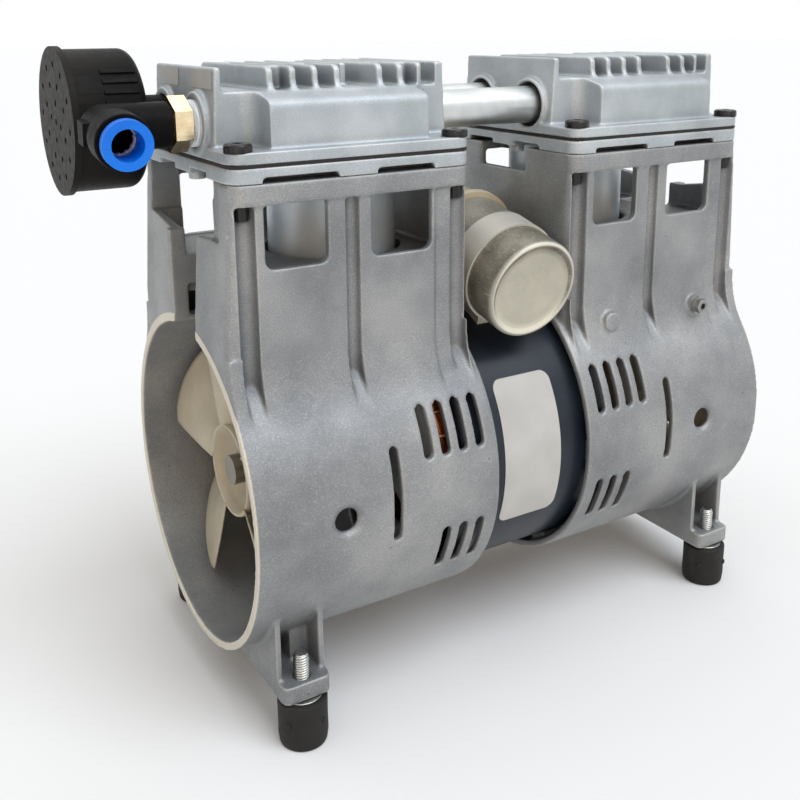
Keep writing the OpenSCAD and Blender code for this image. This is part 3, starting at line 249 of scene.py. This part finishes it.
def moulded(name, low, high, rough, texture=0.5, depth=0.02, glow=0.0, worn=None, shine=0.5):
    """Injection moulded plastic: nearly one colour, matt or glossy from its mould, and handled here
    and there. The width and depth of the mould's texture are in millimetres."""
    material, tree, shader, mm = finish_of(name)
    # the colour drifts over 15 mm, and marks from handling are about 2.5 mm across
    tone = add(tree, "TexNoise", {"Vector": mm, "Scale": 1 / 15, "Detail": 4})
    marks = add(tree, "TexNoise", {"Vector": mm, "Scale": 1 / 2.5, "Detail": 6, "Roughness": 0.7})
    skin = add(tree, "TexNoise", {"Vector": mm, "Scale": 1 / texture, "Detail": 2})
    colour = add(tree, "ValToRGB", {"Fac": tone}, stops=((0.35, low), (0.7, high)))
    if worn:
        point = add(tree, "NewGeometry", {}, "Pointiness")
        rubbed = add(tree, "ValToRGB", {"Fac": point}, stops=((0.53, 0.0), (0.6, 0.5)))
        colour = add(tree, "Mix", {0: rubbed, 6: colour, 7: worn}, 2, data_type="RGBA")
    gloss = add(tree, "ValToRGB", {"Fac": marks}, stops=((0.35, rough - 0.06), (0.7, rough + 0.12)))
    height = add(tree, "Bump", {"Height": skin, "Distance": depth * MM, "Strength": 0.5})
    # a skin of fillers and handling grease shines less than clean plastic
    wire(tree, shader, {"Base Color": colour, "Roughness": gloss, "IOR": 1.5, "Specular IOR Level": shine,
                        "Normal": height})
    if glow:
        # light goes a few millimetres into unfilled nylon
        wire(tree, shader, {"Subsurface Weight": glow, "Subsurface Scale": 3 * MM,
                            "Subsurface Radius": (1.0, 0.8, 0.55)})
    return material


def moulded_rubber():
    """Moulded black rubber: matt, with grey dusty rubs and a fine bloom."""
    material, tree, shader, mm = finish_of("moulded_rubber")
    # rubs about 9 mm across; the bloom's specks are 0.1 mm, drawn at 0.8 mm to show
    rub = add(tree, "TexNoise", {"Vector": mm, "Scale": 1 / 9, "Detail": 6, "Roughness": 0.65})
    bloom = add(tree, "TexNoise", {"Vector": mm, "Scale": 1 / 0.8, "Detail": 3})
    colour = add(tree, "ValToRGB", {"Fac": rub},
                 stops=((0.3, "1A1918"), (0.55, "252423"), (0.78, "42403C")))
    rough = add(tree, "ValToRGB", {"Fac": rub}, stops=((0.3, 0.6), (0.7, 0.8)))
    height = add(tree, "Bump", {"Height": bloom, "Distance": 0.04 * MM, "Strength": 0.5})
    wire(tree, shader, {"Base Color": colour, "Roughness": rough, "IOR": 1.5, "Specular IOR Level": 0.3,
                        "Normal": height})
    return material


def thread_sealing_tape():
    """Stretched sealing tape wound on a thread: soft white with pulled edges that catch the light."""
    material, tree, shader, mm = finish_of("stretched_ptfe_tape")
    # the tape was pulled round the thread, so its ridges are 0.8 mm wide and long round it
    round_it = add(tree, "VectorMath", {0: mm, 1: (1, 0.12, 0.12)}, operation="MULTIPLY")
    pulls = add(tree, "TexNoise", {"Vector": round_it, "Scale": 1 / 0.8, "Detail": 4})
    colour = add(tree, "ValToRGB", {"Fac": pulls}, stops=((0.3, "BCC8D0"), (0.62, "EEF2F3")))
    height = add(tree, "Bump", {"Height": pulls, "Distance": 0.15 * MM, "Strength": 0.7})
    wire(tree, shader, {"Base Color": colour, "Roughness": 0.4, "IOR": 1.35, "Normal": height})
    return material


def fibrous(name, low, high, size, depth, rough):
    """Pressed gasket sheet and wool felt: matt fibres, mottled at the size of a fibre bundle."""
    material, tree, shader, mm = finish_of(name)
    fibre = add(tree, "TexNoise", {"Vector": mm, "Scale": 1 / size, "Detail": 5, "Roughness": 0.8})
    colour = add(tree, "ValToRGB", {"Fac": fibre}, stops=((0.3, low), (0.7, high)))
    height = add(tree, "Bump", {"Height": fibre, "Distance": depth * MM, "Strength": 0.7})
    wire(tree, shader, {"Base Color": colour, "Roughness": rough, "Normal": height})
    return material


MATERIALS = {
    "casting": cast_aluminium("die_cast_housing", "7B7F82", "8D9092", "A0A2A2", "E2DFD4"),
    "anodised": anodised_cylinder(),
    "tube": drawn_tube(),
    "steel": metal("ground_steel", "6F706F", "8E8F8D", patch=6, rough=0.34, grain=0.3,
                   stretch=(1, 0.1, 1)),
    "black_steel": metal("black_oxide_steel", "0F0F0F", "1B1A1A", patch=2, rough=0.24, grain=0.5,
                         metallic=0.3, edge="5B5956"),
    "shell_paint": motor_enamel(),
    "copper": metal("enamelled_copper_wire", "8A4422", "CC7A44", patch=2.5, rough=0.3, grain=0.5,
                    metallic=0.6, edge="E09A60"),
    "can": drawn_can(),
    "cream_plastic": moulded("cream_moulded_pvc", "C6BB9D", "DACFB4", 0.42),
    "fan_plastic": moulded("natural_nylon", "B9B099", "C9C1AB", 0.42, glow=0.12),
    "black_plastic": moulded("black_glass_filled_nylon", "0D0D0D", "171716", 0.42, texture=0.45,
                             depth=0.03, worn="34322F", shine=0.05),
    "blue_plastic": moulded("blue_acetal", "0470E4", "0A7EF0", 0.3, depth=0.006, shine=0.3),
    "white_plastic": moulded("white_ptfe", "D3D8DB", "E8EBED", 0.4),
    "brass_plated": metal("nickel_plated_brass", "E4CBA0", "FBEAC6", patch=5, rough=0.2, grain=0.3,
                          stretch=(0.1, 1, 1), edge="F1E4C4"),
    "rubber": moulded_rubber(),
    "gasket": fibrous("pressed_fibre_gasket", "121212", "2A2928", size=0.5, depth=0.03, rough=0.8),
    "felt": fibrous("wool_felt", "56534E", "8A857C", size=0.6, depth=0.3, rough=0.95),
    "label": moulded("label_vinyl", "B9B9B5", "C5C5C1", 0.35, depth=0.004),
}
# finishes that only some pieces of a slot have
HEAD_CASTING = cast_aluminium("die_cast_head", "9BA3A8", "ABB4B9", "BEC5C9", "ECE8DB", edge=0.6)
SHAFT_STEEL = metal("turned_shaft_steel", "4E4B44", "6B675D", patch=4, rough=0.36, grain=0.3,
                    stretch=(0.1, 1, 1), edge="A8A499")
ZINC = metal("zinc_plated_steel", "A6AAAB", "C9C8BE", patch=3, rough=0.28, grain=0.4)
TAPE = thread_sealing_tape()


# MESHES
def shown(name, mesh, slot, body, *nodes, material=None):
    """Puts a mesh in the scene on its body, in place of the CAD nodes that are named."""
    piece = bpy.data.objects.new(name, mesh)
    bpy.context.scene.collection.objects.link(piece)
    mesh.materials.clear()
    mesh.materials.append(material or MATERIALS[slot])
    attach(piece, body)
    if nodes:
        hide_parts(*nodes)
    return piece


def worked(mesh, *modifiers):
    """A mesh after modifiers, each given as its type and its settings."""
    work = bpy.data.objects.new("work", mesh)
    bpy.context.scene.collection.objects.link(work)
    for kind, settings in modifiers:
        modifier = work.modifiers.new(kind.lower(), kind)
        for key, value in settings.items():
            setattr(modifier, key, value)
    graph = bpy.context.evaluated_depsgraph_get()
    result = bpy.data.meshes.new_from_object(work.evaluated_get(graph), depsgraph=graph)
    bpy.data.objects.remove(work)
    result.shade_smooth()
    return result


def evenly(voxel):
    """The modifier that skins a mesh anew with even small faces, and joins what overlaps in it."""
    return "REMESH", {"mode": "VOXEL", "voxel_size": voxel * MM}


def rounding(passes):
    """The modifier that takes the sharpness off all edges."""
    return "SMOOTH", {"factor": 0.5, "iterations": passes}


def cast_piece(node, slot, body, voxel, passes, material=None):
    """A CAD node with all its edges rounded, as a casting or moulding leaves them."""
    mesh = worked(NODES[node].data.copy(), evenly(voxel), rounding(passes))
    return shown(node + ".cast", mesh, slot, body, node, material=material)


def build(verts, faces):
    """A smooth closed mesh from points in millimetres, with its faces turned outwards."""
    mesh = bpy.data.meshes.new("mesh")
    mesh.from_pydata([Vector(v) * MM for v in verts], [], faces)
    work = bmesh.new()
    work.from_mesh(mesh)
    bmesh.ops.recalc_face_normals(work, faces=work.faces)
    work.to_mesh(mesh)
    work.free()
    mesh.shade_smooth()
    return mesh


def rows_to_faces(rows, close_rows=False, close_cols=True):
    """Points and faces of a skin over rows of points."""
    n, m = len(rows), len(rows[0])
    faces = [(i * m + j, i * m + (j + 1) % m, (i + 1) % n * m + (j + 1) % m, (i + 1) % n * m + j)
             for i in range(n if close_rows else n - 1) for j in range(m if close_cols else m - 1)]
    return [p for row in rows for p in row], faces


def turned(profile, place=Matrix(), segments=96, ends=False):
    """A turned piece: its profile is (radius, height) round Z, closed on itself or capped at both ends."""
    rows = [[place @ Vector((r * math.cos(TURN * k / segments), r * math.sin(TURN * k / segments), h))
             for k in range(segments)] for r, h in profile]
    verts, faces = rows_to_faces(rows, close_rows=not ends)
    if ends:
        faces += [tuple(range(segments)), tuple(range(len(verts) - segments, len(verts)))]
    return verts, faces


def rounded_profile(points, radius, steps=5):
    """A closed (radius, height) profile with its corners rounded, but for those on the axis."""
    result = []
    n = len(points)
    on_axis, share = 0.1, 0.45
    for i in range(n):
        before, here, after = (Vector(points[j % n]) for j in (i - 1, i, i + 1))
        a, b = before - here, after - here
        cut = min(radius, a.length * share, b.length * share)
        if here.x < on_axis:
            result.append(tuple(here))
            continue
        p, q = here + a.normalized() * cut, here + b.normalized() * cut
        for k in range(steps + 1):
            t = k / steps
            result.append(tuple(p * (1 - t) ** 2 + here * (2 * t * (1 - t)) + q * t ** 2))
    return result


def together(*parts):
    """Several sets of points and faces as one."""
    verts, faces = [], []
    for v, f in parts:
        faces += [tuple(i + len(verts) for i in face) for face in f]
        verts += list(v)
    return verts, faces


def along_x(x=0, y=0, z=AXIS_Z, towards=1):
    """A place with its Z axis along the shaft, outwards at the end that towards names."""
    return Matrix.Translation((x, y, z)) @ Matrix.Rotation(towards * math.pi / 2, 4, "Y")


def prism(outline, low, high):
    """An outline of (y, z) points made solid along the shaft, from low to high."""
    n = len(outline)
    verts = [(x, y, z) for x in (low, high) for y, z in outline]
    faces = [(i, (i + 1) % n, (i + 1) % n + n, i + n) for i in range(n)]
    return verts, faces + [tuple(range(n)), tuple(range(n, 2 * n))]


def block(x, y, z):
    """A plain block, from its lowest and highest X, Y and Z."""
    return prism([(y[0], z[0]), (y[1], z[0]), (y[1], z[1]), (y[0], z[1])], *x)


def arc(centre, radius, start, end, steps):
    """Points (y, z) on an arc, with its angles in degrees from +Y towards +Z."""
    angles = [math.radians(start + (end - start) * i / steps) for i in range(steps + 1)]
    return [(centre[0] + radius * math.cos(a), centre[1] + radius * math.sin(a)) for a in angles]


def mirrored(side, points):
    """A right hand housing's points, turned half a turn round Z for the left hand one."""
    return [(side * x, side * y, z) for x, y, z in points]


# PIECES
def foot_rounds(back):
    """The wide round in which one face of a right hand tower runs out into the drum, between its
    grooves. The face is the rear one where back is 1, and the front one where it is -1."""
    # the round meets the drum where its own middle and the shaft are in line
    drop = math.degrees(math.asin(SWELL_MID[1] / (DRUM_R + SWELL_R)))
    centre = (-SWELL_MID[0], AXIS_Z + SWELL_MID[1])
    inside = [(-53.4, 122.4), (-49.5, 127.7), (-45, 132.5), (-45, centre[1])]
    # between the grooves, from the tower's middle; the last stretch lies back by the depth of a step
    step = 1.2
    lengths = [(TOWER_X + back * low, TOWER_X + back * high, depth)
               for low, high, depth in ((-39.9, -5.5, 0), (-0.1, 32, 0), (32, 39.9, step))]
    # and at the two ends of the tower
    lengths += [(25.9, 26.6, 0), (119.4, 124.4, 0)]
    parts = []
    for low, high, depth in lengths:
        foot = [(y + depth, z) for y, z in arc(centre, SWELL_R, 0, -drop, 12)]
        parts.append(prism([(back * y, z) for y, z in foot + inside], *sorted((low, high))))
    return parts


def leaning_end(back):
    """Half of the tower's outer end, which leans out from the deck to the drum's rim."""
    behind, at_deck, at_rim = 119.6, 121.1, 124.55
    deck_z, bend_z = 203, 155
    edge, middle, corner_r, steps = 46.6, 13.0, 4, 24
    inside_r = DRUM_R - 1.5
    rows = []
    for i in range(steps + 1):
        y = edge + (middle - edge) * i / steps
        foot = AXIS_Z + math.sqrt(inside_r ** 2 - y * y)
        # the tower's upright corner is round, and less so at the deck
        corner = corner_r - math.sqrt(corner_r ** 2 - max(0, y - edge + corner_r) ** 2)
        rows.append([(behind, back * y, deck_z), (at_deck - 0.4 * corner, back * y, deck_z - 2),
                     (at_rim - corner, back * y, bend_z), (at_rim - corner, back * y, foot),
                     (behind, back * y, foot)])
    verts, faces = rows_to_faces(rows)
    last = len(verts) - len(rows[0])
    return verts, faces + [tuple(range(len(rows[0]))), tuple(range(last, len(verts)))]


def high_floor():
    """The tower's floor round the cylinder: it reaches the walls, and the bottoms of their channels."""
    sleeve_r, under, top = 27.7, 163, 174.3
    # how far it reaches from the cylinder's middle, and between which ends the channels lie
    inwards, outwards, to_channel, to_wall = 34, 58, 43.6, 41.8
    channels = (33.4, 112.6)
    steps, tiny = 96, 1e-6
    rows = []
    for k in range(steps):
        c, t = math.cos(TURN * k / steps), math.sin(TURN * k / steps)
        far = min((outwards if c > 0 else inwards) / max(abs(c), tiny), to_channel / max(abs(t), tiny))
        x, y = CYLINDER_X + far * c, far * t
        if not channels[0] < x < channels[1]:
            y = max(-to_wall, min(to_wall, y))
        near_x, near_y = CYLINDER_X + sleeve_r * c, sleeve_r * t
        rows.append([(near_x, near_y, under), (near_x, near_y, top), (x, y, top), (x, y, under)])
    return rows_to_faces(rows, close_rows=True)


def housing_swells():
    """What the die adds to the plain shapes of a right hand housing."""
    parts = []
    for back in (1, -1):
        parts += foot_rounds(back)
        # the drum's wall goes on behind the round
        wall = arc((0, AXIS_Z), DRUM_R - 0.05, 36, 60, 8) + arc((0, AXIS_Z), DRUM_R - 2.8, 60, 36, 8)
        parts.append(prism([(back * y, z) for y, z in wall], 24, 124.5))
        parts.append(leaning_end(back))
    parts.append(high_floor())
    # the front side of the outer notch
    parts.append(block((109.5, 121.1), (28.6, 36.5), (204.5, 208.4)))
    parts.append(block((117.9, 121.1), (28.6, 36.5), (184, 206)))
    # the rear cheek of the throat
    parts.append(block((117.9, 124.5), (-14.5, -10), (150.5, 184.8)))
    return together(*parts)


def housing_cuts(rear):
    """The opening in the outer end with its throat through the rim, the wide rear window, and the
    faced rings round the holes for the motor's screws."""
    beyond, above = 128, 212
    shoulders = [(-39, above), (-39, 188.3), (-17, 184.8), (-10, 184.8), (-10, 126.3), (14, 126.3),
                 (14, 186.5), (28.5, 187.5), (28.5, above)]
    parts = [prism(shoulders, 109.15, beyond), block((120.15, beyond), (28.4, 36), (187.5, above))]
    window = (5, 34.5) if rear < 0 else (-34.5, -5)
    parts.append(block([TOWER_X + x for x in window], sorted((rear * 42.5, rear * 52)), (175.3, 200.9)))
    # where a screw's hole is; its ring is 12.4 mm across, and the cutter flares to clear the wall
    screw_x, screw_y, screw_z, facing_depth = 89.8, 60.6, 87.9, 0.9
    for back in (-1, 1):
        outwards = Vector((0, back * screw_y, screw_z - AXIS_Z)).normalized()
        middle = Vector((screw_x, 0, AXIS_Z)) + outwards * (DRUM_R - facing_depth)
        place = Matrix.Translation(middle) @ outwards.to_track_quat("Z", "Y").to_matrix().to_4x4()
        parts.append(turned([(6.2, 0), (6.9, 4)], place, segments=40, ends=True))
    return together(*parts)


def housing(side, rear):
    """A housing as cast: the solid with its swells, cut open, and with all edges rounded."""
    name = ("left" if side < 0 else "right") + "_housing"
    verts, faces = housing_swells()
    work = bmesh.new()
    work.from_mesh(NODES[name].data)
    work.from_mesh(build(mirrored(side, verts), faces))
    joined = bpy.data.meshes.new(name)
    work.to_mesh(joined)
    work.free()
    verts, faces = housing_cuts(rear)
    cutter = bpy.data.objects.new("cutter", build(mirrored(side, verts), faces))
    bpy.context.scene.collection.objects.link(cutter)
    voxel = 0.6
    # the first skin makes one closed body of it, which the cutter needs
    mesh = worked(joined, evenly(voxel),
                  ("BOOLEAN", {"operation": "DIFFERENCE", "object": cutter, "solver": "MANIFOLD"}),
                  evenly(voxel), rounding(4))
    bpy.data.objects.remove(cutter)
    shown(name + ".cast", mesh, "casting", "pump", name)


def castings():
    """Housings, heads and valve plates with the round edges of their dies."""
    housing(-1, -1)
    housing(1, 1)
    voxel = 0.55
    for side in ("left", "right"):
        cast_piece(side + "_head", "casting", "pump", voxel, 8, HEAD_CASTING)
        cast_piece(side + "_valve_plate", "casting", "pump", 0.7, 2, HEAD_CASTING)


def fan_blade(blade, blades=5):
    """A broad pitched blade with round outer corners: two skins that meet round its edges."""
    across, along = 22, 18
    # where the first blade starts round the hub, and how much of a turn a blade takes up
    first, sweep = math.radians(272), math.radians(47)
    # the blade's front edge, how far it goes back, how much it bulges, and half its thickness
    front, pitch, camber, half_thick = 111, 16, 2.6, 0.9
    root = FAN_HUB_R - 1.2
    skins = []
    for face in (1, -1):
        for i in range(along + 1):
            u = i / along
            row = []
            for j in range(across + 1):
                v = j / across
                # the outer corners are rounded, the one at the back edge more
                tip = FAN_TIP_R - 3 * max(0, 1 - u / 0.14) ** 2 - 5 * max(0, (u - 0.72) / 0.28) ** 2.2
                r = root + (tip - FAN_HUB_R + 1.2) * v
                angle = first + math.radians(360 / blades * blade)
                angle += sweep * (u - 0.08 * (1 - v) * (1 - u))
                x = front - pitch * u + camber * math.sin(math.pi * u) - 1.5 * (1 - v)
                half = half_thick * math.sqrt(max(0.05, math.sin(math.pi * min(0.97, max(0.03, u)))))
                row.append(Vector((x + face * half, -r * math.sin(angle), r * math.cos(angle))))
            skins.append(row)
    loop = skins[:along + 1] + skins[along + 1:][::-1]
    verts, faces = rows_to_faces(loop, close_rows=True, close_cols=False)
    m, n = across + 1, len(loop)
    for i in range(along):
        for j in (0, across):
            faces.append(tuple(k * m + j for k in (i, i + 1, n - 2 - i, n - 1 - i)))
    return verts, faces


def fans():
    """Two five-blade moulded fans with dished hubs."""
    hub = [(6.05, 98.9), (7.6, 99.6), (9.0, 98.9), (12.0, 99.4), (15.0, 101.8), (16.9, 105.6),
           (17.6, 108.9), (18.1, 109.3), (18.7, 109.1), (19.0, 108.2), (18.9, 98.2), (18.0, 97.2),
           (10.4, 96.4), (9.5, 95.6), (9.4, 91.0), (8.8, 90.1), (6.05, 90.1)]
    for side, name in ((-1, "left"), (1, "right")):
        verts, faces = together(turned(hub, along_x(z=0)), *(fan_blade(blade) for blade in range(5)))
        mesh = build([(side * x, y, z + AXIS_Z) for x, y, z in verts], faces)
        shown(name + "_fan.blades", mesh, "fan_plastic", "shaft", name + "_fan")


def winding_wires():
    """The ends of the stator coils: bundled enamelled wires with lacing cord round the bundle."""
    rng = random.Random(4)
    # the innermost wire, a wire's own radius, and the steps from wire to wire and layer to layer
    first_r, first_x, wire_r, pitch, layer_x = 37.8, 26.2, 1.3, 2.1, 2.7
    # the middle of the bundle, and half its height and width under the cord
    bundle_r, bundle_x, half_r, half_x = 42.2, 34.4, 6.2, 9.4
    parts = []
    for side in (-1, 1):
        for layer in range(7):
            for k in range(5):
                # the last layer has three wires alone, so that the bundle is round
                if layer == 6 and k in (0, 4):
                    continue
                r = first_r + pitch * k + (pitch / 2 if layer % 2 else 0)
                x = first_x + layer_x * layer
                phase, amp = rng.uniform(0, TURN), rng.uniform(0.25, 0.6)
                rows = []
                for i in range(120):
                    t = TURN * i / 120
                    rr = r + amp * math.sin(5 * t + phase) + 0.25 * math.sin(13 * t + 2 * phase)
                    xx = side * (x + amp * math.cos(7 * t + phase))
                    row = []
                    for j in range(7):
                        a = TURN * j / 7
                        far = rr + wire_r * math.sin(a)
                        row.append((xx + wire_r * math.cos(a), far * math.sin(t),
                                    far * math.cos(t) + AXIS_Z))
                    rows.append(row)
                parts.append(rows_to_faces(rows, close_rows=True))
        # 30 turns of flat cord, each a band round the bundle
        for i in range(30):
            t = TURN * i / 30
            rows = []
            for j in range(24):
                a = TURN * j / 24
                rr, xx = bundle_r + half_r * math.sin(a), bundle_x + half_x * math.cos(a)
                row = []
                for out, w in ((0.1, -0.02), (0.7, -0.012), (0.7, 0.012), (0.1, 0.02)):
                    far = rr + out * math.sin(a)
                    row.append((side * (xx + out * math.cos(a)), far * math.sin(t + w),
                                far * math.cos(t + w) + AXIS_Z))
                rows.append(row)
            parts.append(rows_to_faces(rows, close_rows=True))
    shown("windings.wires", build(*together(*parts)), "copper", "pump", "windings")


def capacitor():
    """Drawn can with its rolled front rim and slightly sunk end, and the strap of the same metal."""
    place = Matrix.Translation((0, 0, AXIS_Z)) @ Matrix.Rotation(CAN_TILT, 4, "X")
    place = place @ Matrix.Translation((0, CAN_FRONT, CAN_UP)) @ Matrix.Rotation(-math.pi / 2, 4, "X")
    can = [(3, 1.24), (6, 1.21), (9, 1.16), (12, 1.1), (15, 1.05), (17.4, 1.0), (18.2, 0.8),
           (18.9, 0.15), (19.6, 0.02), (20.3, 0.3), (20.75, 0.95), (20.9, 1.9), (20.85, 16),
           (20.9, CAN_L - 1.2), (20.5, 47.2), (19.8, CAN_L), (3, CAN_L)]
    mesh = build(*turned(can, place, 128, ends=True))
    shown("capacitor_can.drawn", mesh, "can", "pump", "capacitor_can")
    NODES["capacitor_strap"].data.materials[0] = MATERIALS["can"]


def stud_thread(place, low, high):
    """One turn of the helix every millimetre, which an M6 thread has, running out at the top."""
    # the skin's inner edge is hidden in the stud's core
    root_r, tooth, inside_r, steps = 2.45, 0.53, 1.6, 24
    turns = int(high - low)
    rows = []
    for i in range(turns * steps + 1):
        t = i / steps
        taper = min(1, (turns - t) / 0.9 + 0.25)
        a = TURN * t
        section = ((root_r, -0.49), (root_r + tooth * taper, -0.08), (root_r + tooth * taper, 0.08),
                   (root_r, 0.49), (inside_r, 0.2), (inside_r, -0.2))
        c, w = math.cos(a), math.sin(a)
        rows.append([place @ Vector((r * c, r * w, low + t + up)) for r, up in section])
    return rows_to_faces(rows)


def foot_hardware():
    """Rubber feet with their moulded nubs, and zinc studs with real threads and washers."""
    foot = rounded_profile([(2.5, 0), (8.9, 0), (9.4, 4), (9.3, 10), (9.4, 18.5), (2.5, 18.5)], 0.9)
    nub = [(0.01, 9.1), (1.2, 9.1), (1.1, 9.7), (0.6, 10.0), (0.01, 10.0)]
    low, high = 9.2, 35.9
    core = rounded_profile([(0.01, low), (2.47, low), (2.47, high - 0.2), (2.0, high), (0.01, high)], 0.2)
    washer = rounded_profile([(2.5, 18.53), (7.4, 18.53), (7.4, 19.27), (2.5, 19.27)], 0.25)
    feet, studs = [], []
    for sx in (-1, 1):
        for sy in (-1, 1):
            place = Matrix.Translation((sx * FOOT_X, sy * FOOT_Y, 0))
            feet.append(turned(foot, place, 72))
            for k in range(2):
                sideways = Matrix.Rotation(math.pi / 2, 4, "Y")
                turn = Matrix.Rotation(math.radians(-150 + 90 * k), 4, "Z") @ sideways
                nub_place = place @ Matrix.Translation((0, 0, 10.5)) @ turn
                feet.append(turned(nub, nub_place, 16, ends=True))
            studs.append(stud_thread(place, low, high))
            studs.append(turned(core, place, 24, ends=True))
            studs.append(turned(washer, place, 48))
    shown("feet.moulded", build(*together(*feet)), "rubber", "pump", "feet")
    shown("foot_studs.threaded", build(*together(*studs)), "steel", "pump", "foot_studs", material=ZINC)


def wound_tape():
    """Sealing tape in nine ridges, one over each turn of the thread."""
    wound = [(7.75, 0.1)]
    for k in range(9):
        h = 0.2 + 1.13 * k
        wound += [(7.9, h), (8.15, h + 0.2), (8.22, h + 0.55), (8.12, h + 0.9)]
    wound += [(7.9, 10.3), (7.75, 10.4)]
    mesh = build(*turned(wound, along_x(-TAPE_FACE, -PORT_Y, PORT_Z)))
    shown("thread_tape.wound", mesh, "white_plastic", "pump", "thread_tape", material=TAPE)


def collet():
    """The collet's ring and the teeth that hold a hose, seen down the bore of the release ring."""
    teeth = 12
    place = Matrix.Translation((-BEND_X, -PORT_Y, PORT_Z)) @ Matrix.Rotation(OUTLET_TILT, 4, "X")
    place = place @ Matrix.Rotation(math.pi / 2, 4, "X")
    ring = rounded_profile([(5.1, 15.2), (7.0, 15.2), (7.0, 16.45), (5.1, 16.45)], 0.2)
    parts = [turned(ring, place, 72)]
    section = ((5.3, -0.75), (4.75, -0.6), (4.75, 0.6), (5.3, 0.75))
    for k in range(teeth):
        turn = place @ Matrix.Rotation(TURN * k / teeth, 4, "Z")
        rows = [[turn @ Vector((r, w, h)) for r, w in section] for h in (15.3, 16.0, 17.2, 17.6)]
        verts, faces = rows_to_faces(rows)
        parts.append((verts, faces + [(0, 1, 2, 3), (12, 13, 14, 15)]))
    shown("fitting_collet.teeth", build(*together(*parts)), "white_plastic", "elbow", "fitting_collet")


def port_fittings():
    """The tape, the elbow with the round edges of its mould, and the collet."""
    wound_tape()
    cast_piece("fitting_elbow", "black_plastic", "elbow", 0.35, 3)
    collet()


def scene_camera():
    """The photograph's view, with the shift that its framing needs."""
    lens = bpy.data.cameras.new("camera")
    lens.sensor_width = SENSOR_MM
    lens.lens = FOCAL_PX * SENSOR_MM / FRAME_PX
    lens.shift_y = (PRINCIPAL_ROW - FRAME_PX / 2) / FRAME_PX
    lens.clip_start, lens.clip_end = 0.01, 20
    camera = bpy.data.objects.new("camera", lens)
    bpy.context.scene.collection.objects.link(camera)
    a, e = CAMERA_YAW, CAMERA_PITCH
    forward = Vector((math.sin(a) * math.cos(e), math.cos(a) * math.cos(e), -math.sin(e)))
    right = Vector((math.cos(a), -math.sin(a), 0))
    up = right.cross(forward)
    c, s = math.cos(CAMERA_ROLL), math.sin(CAMERA_ROLL)
    axes = Matrix((c * right + s * up, c * up - s * right, -forward)).transposed().to_4x4()
    camera.matrix_world = Matrix.Translation(Vector(CAMERA_AT) * MM) @ axes
    bpy.context.scene.camera = camera


def daylight(name, towards, strength, colour, spread):
    """Even light from one side of the sky, soft enough that shadows have no edge."""
    light = bpy.data.lights.new(name, "SUN")
    light.energy, light.angle = strength, math.radians(spread)
    light.color = linear(colour)[:3]
    piece = bpy.data.objects.new(name, light)
    bpy.context.scene.collection.objects.link(piece)
    piece.rotation_euler = Vector(towards).to_track_quat("-Z", "Y").to_euler()


def studio():
    """White floor and surroundings, cool daylight from above and the front, warm light from the left."""
    world = bpy.data.worlds.new("studio")
    bpy.context.scene.world = world
    world.use_nodes = True
    tree = world.node_tree
    seen = add(tree, "LightPath", {}, "Is Camera Ray")
    glossy = add(tree, "LightPath", {}, "Is Glossy Ray")
    clear = add(tree, "LightPath", {}, "Is Transmission Ray")
    seen = add(tree, "Math", {0: seen, 1: glossy}, operation="MAXIMUM")
    seen = add(tree, "Math", {0: seen, 1: clear}, operation="MAXIMUM")
    # what the object's own surfaces get from the sky, and what is seen of it
    strength = add(tree, "MapRange", {"Value": seen, "To Min": 0.28, "To Max": 1.0})
    wire(tree, tree.nodes["Background"], {"Color": "FFFFFF", "Strength": strength})
    # the floor reaches past the horizon of every view
    half = 15000
    corners = [(-half, -half, 0), (half, -half, 0), (half, half, 0), (-half, half, 0)]
    floor = bpy.data.objects.new("floor", build(corners, [(0, 1, 2, 3)]))
    bpy.context.scene.collection.objects.link(floor)
    material, tree, shader, _ = finish_of("floor_board")
    wire(tree, shader, {"Base Color": "F7F7F5", "Roughness": 0.9, "Specular IOR Level": 0.1})
    floor.data.materials.append(material)
    daylight("front_daylight", (-0.22, 0.6, -0.9), 1.75, "F0F5FF", 45)
    daylight("top_daylight", (0.1, -0.15, -1), 1.1, "FFFFFF", 80)
    daylight("left_lamp", (0.45, 0.85, -0.15), 0.55, "FFCB90", 40)


# every solid takes the finish of its slot, also where a piece replaces it
slots = {part["node"]: part["material_slot"] for part in frame["record"]["subparts"]}
for name, piece in NODES.items():
    piece.data.materials.clear()
    piece.data.materials.append(MATERIALS[slots[name]])
NODES["shaft"].data.materials[0] = SHAFT_STEEL

scene_camera()
studio()
castings()
fans()
winding_wires()
capacitor()
foot_hardware()
port_fittings()

bpy.context.scene.view_settings.view_transform = "Standard"
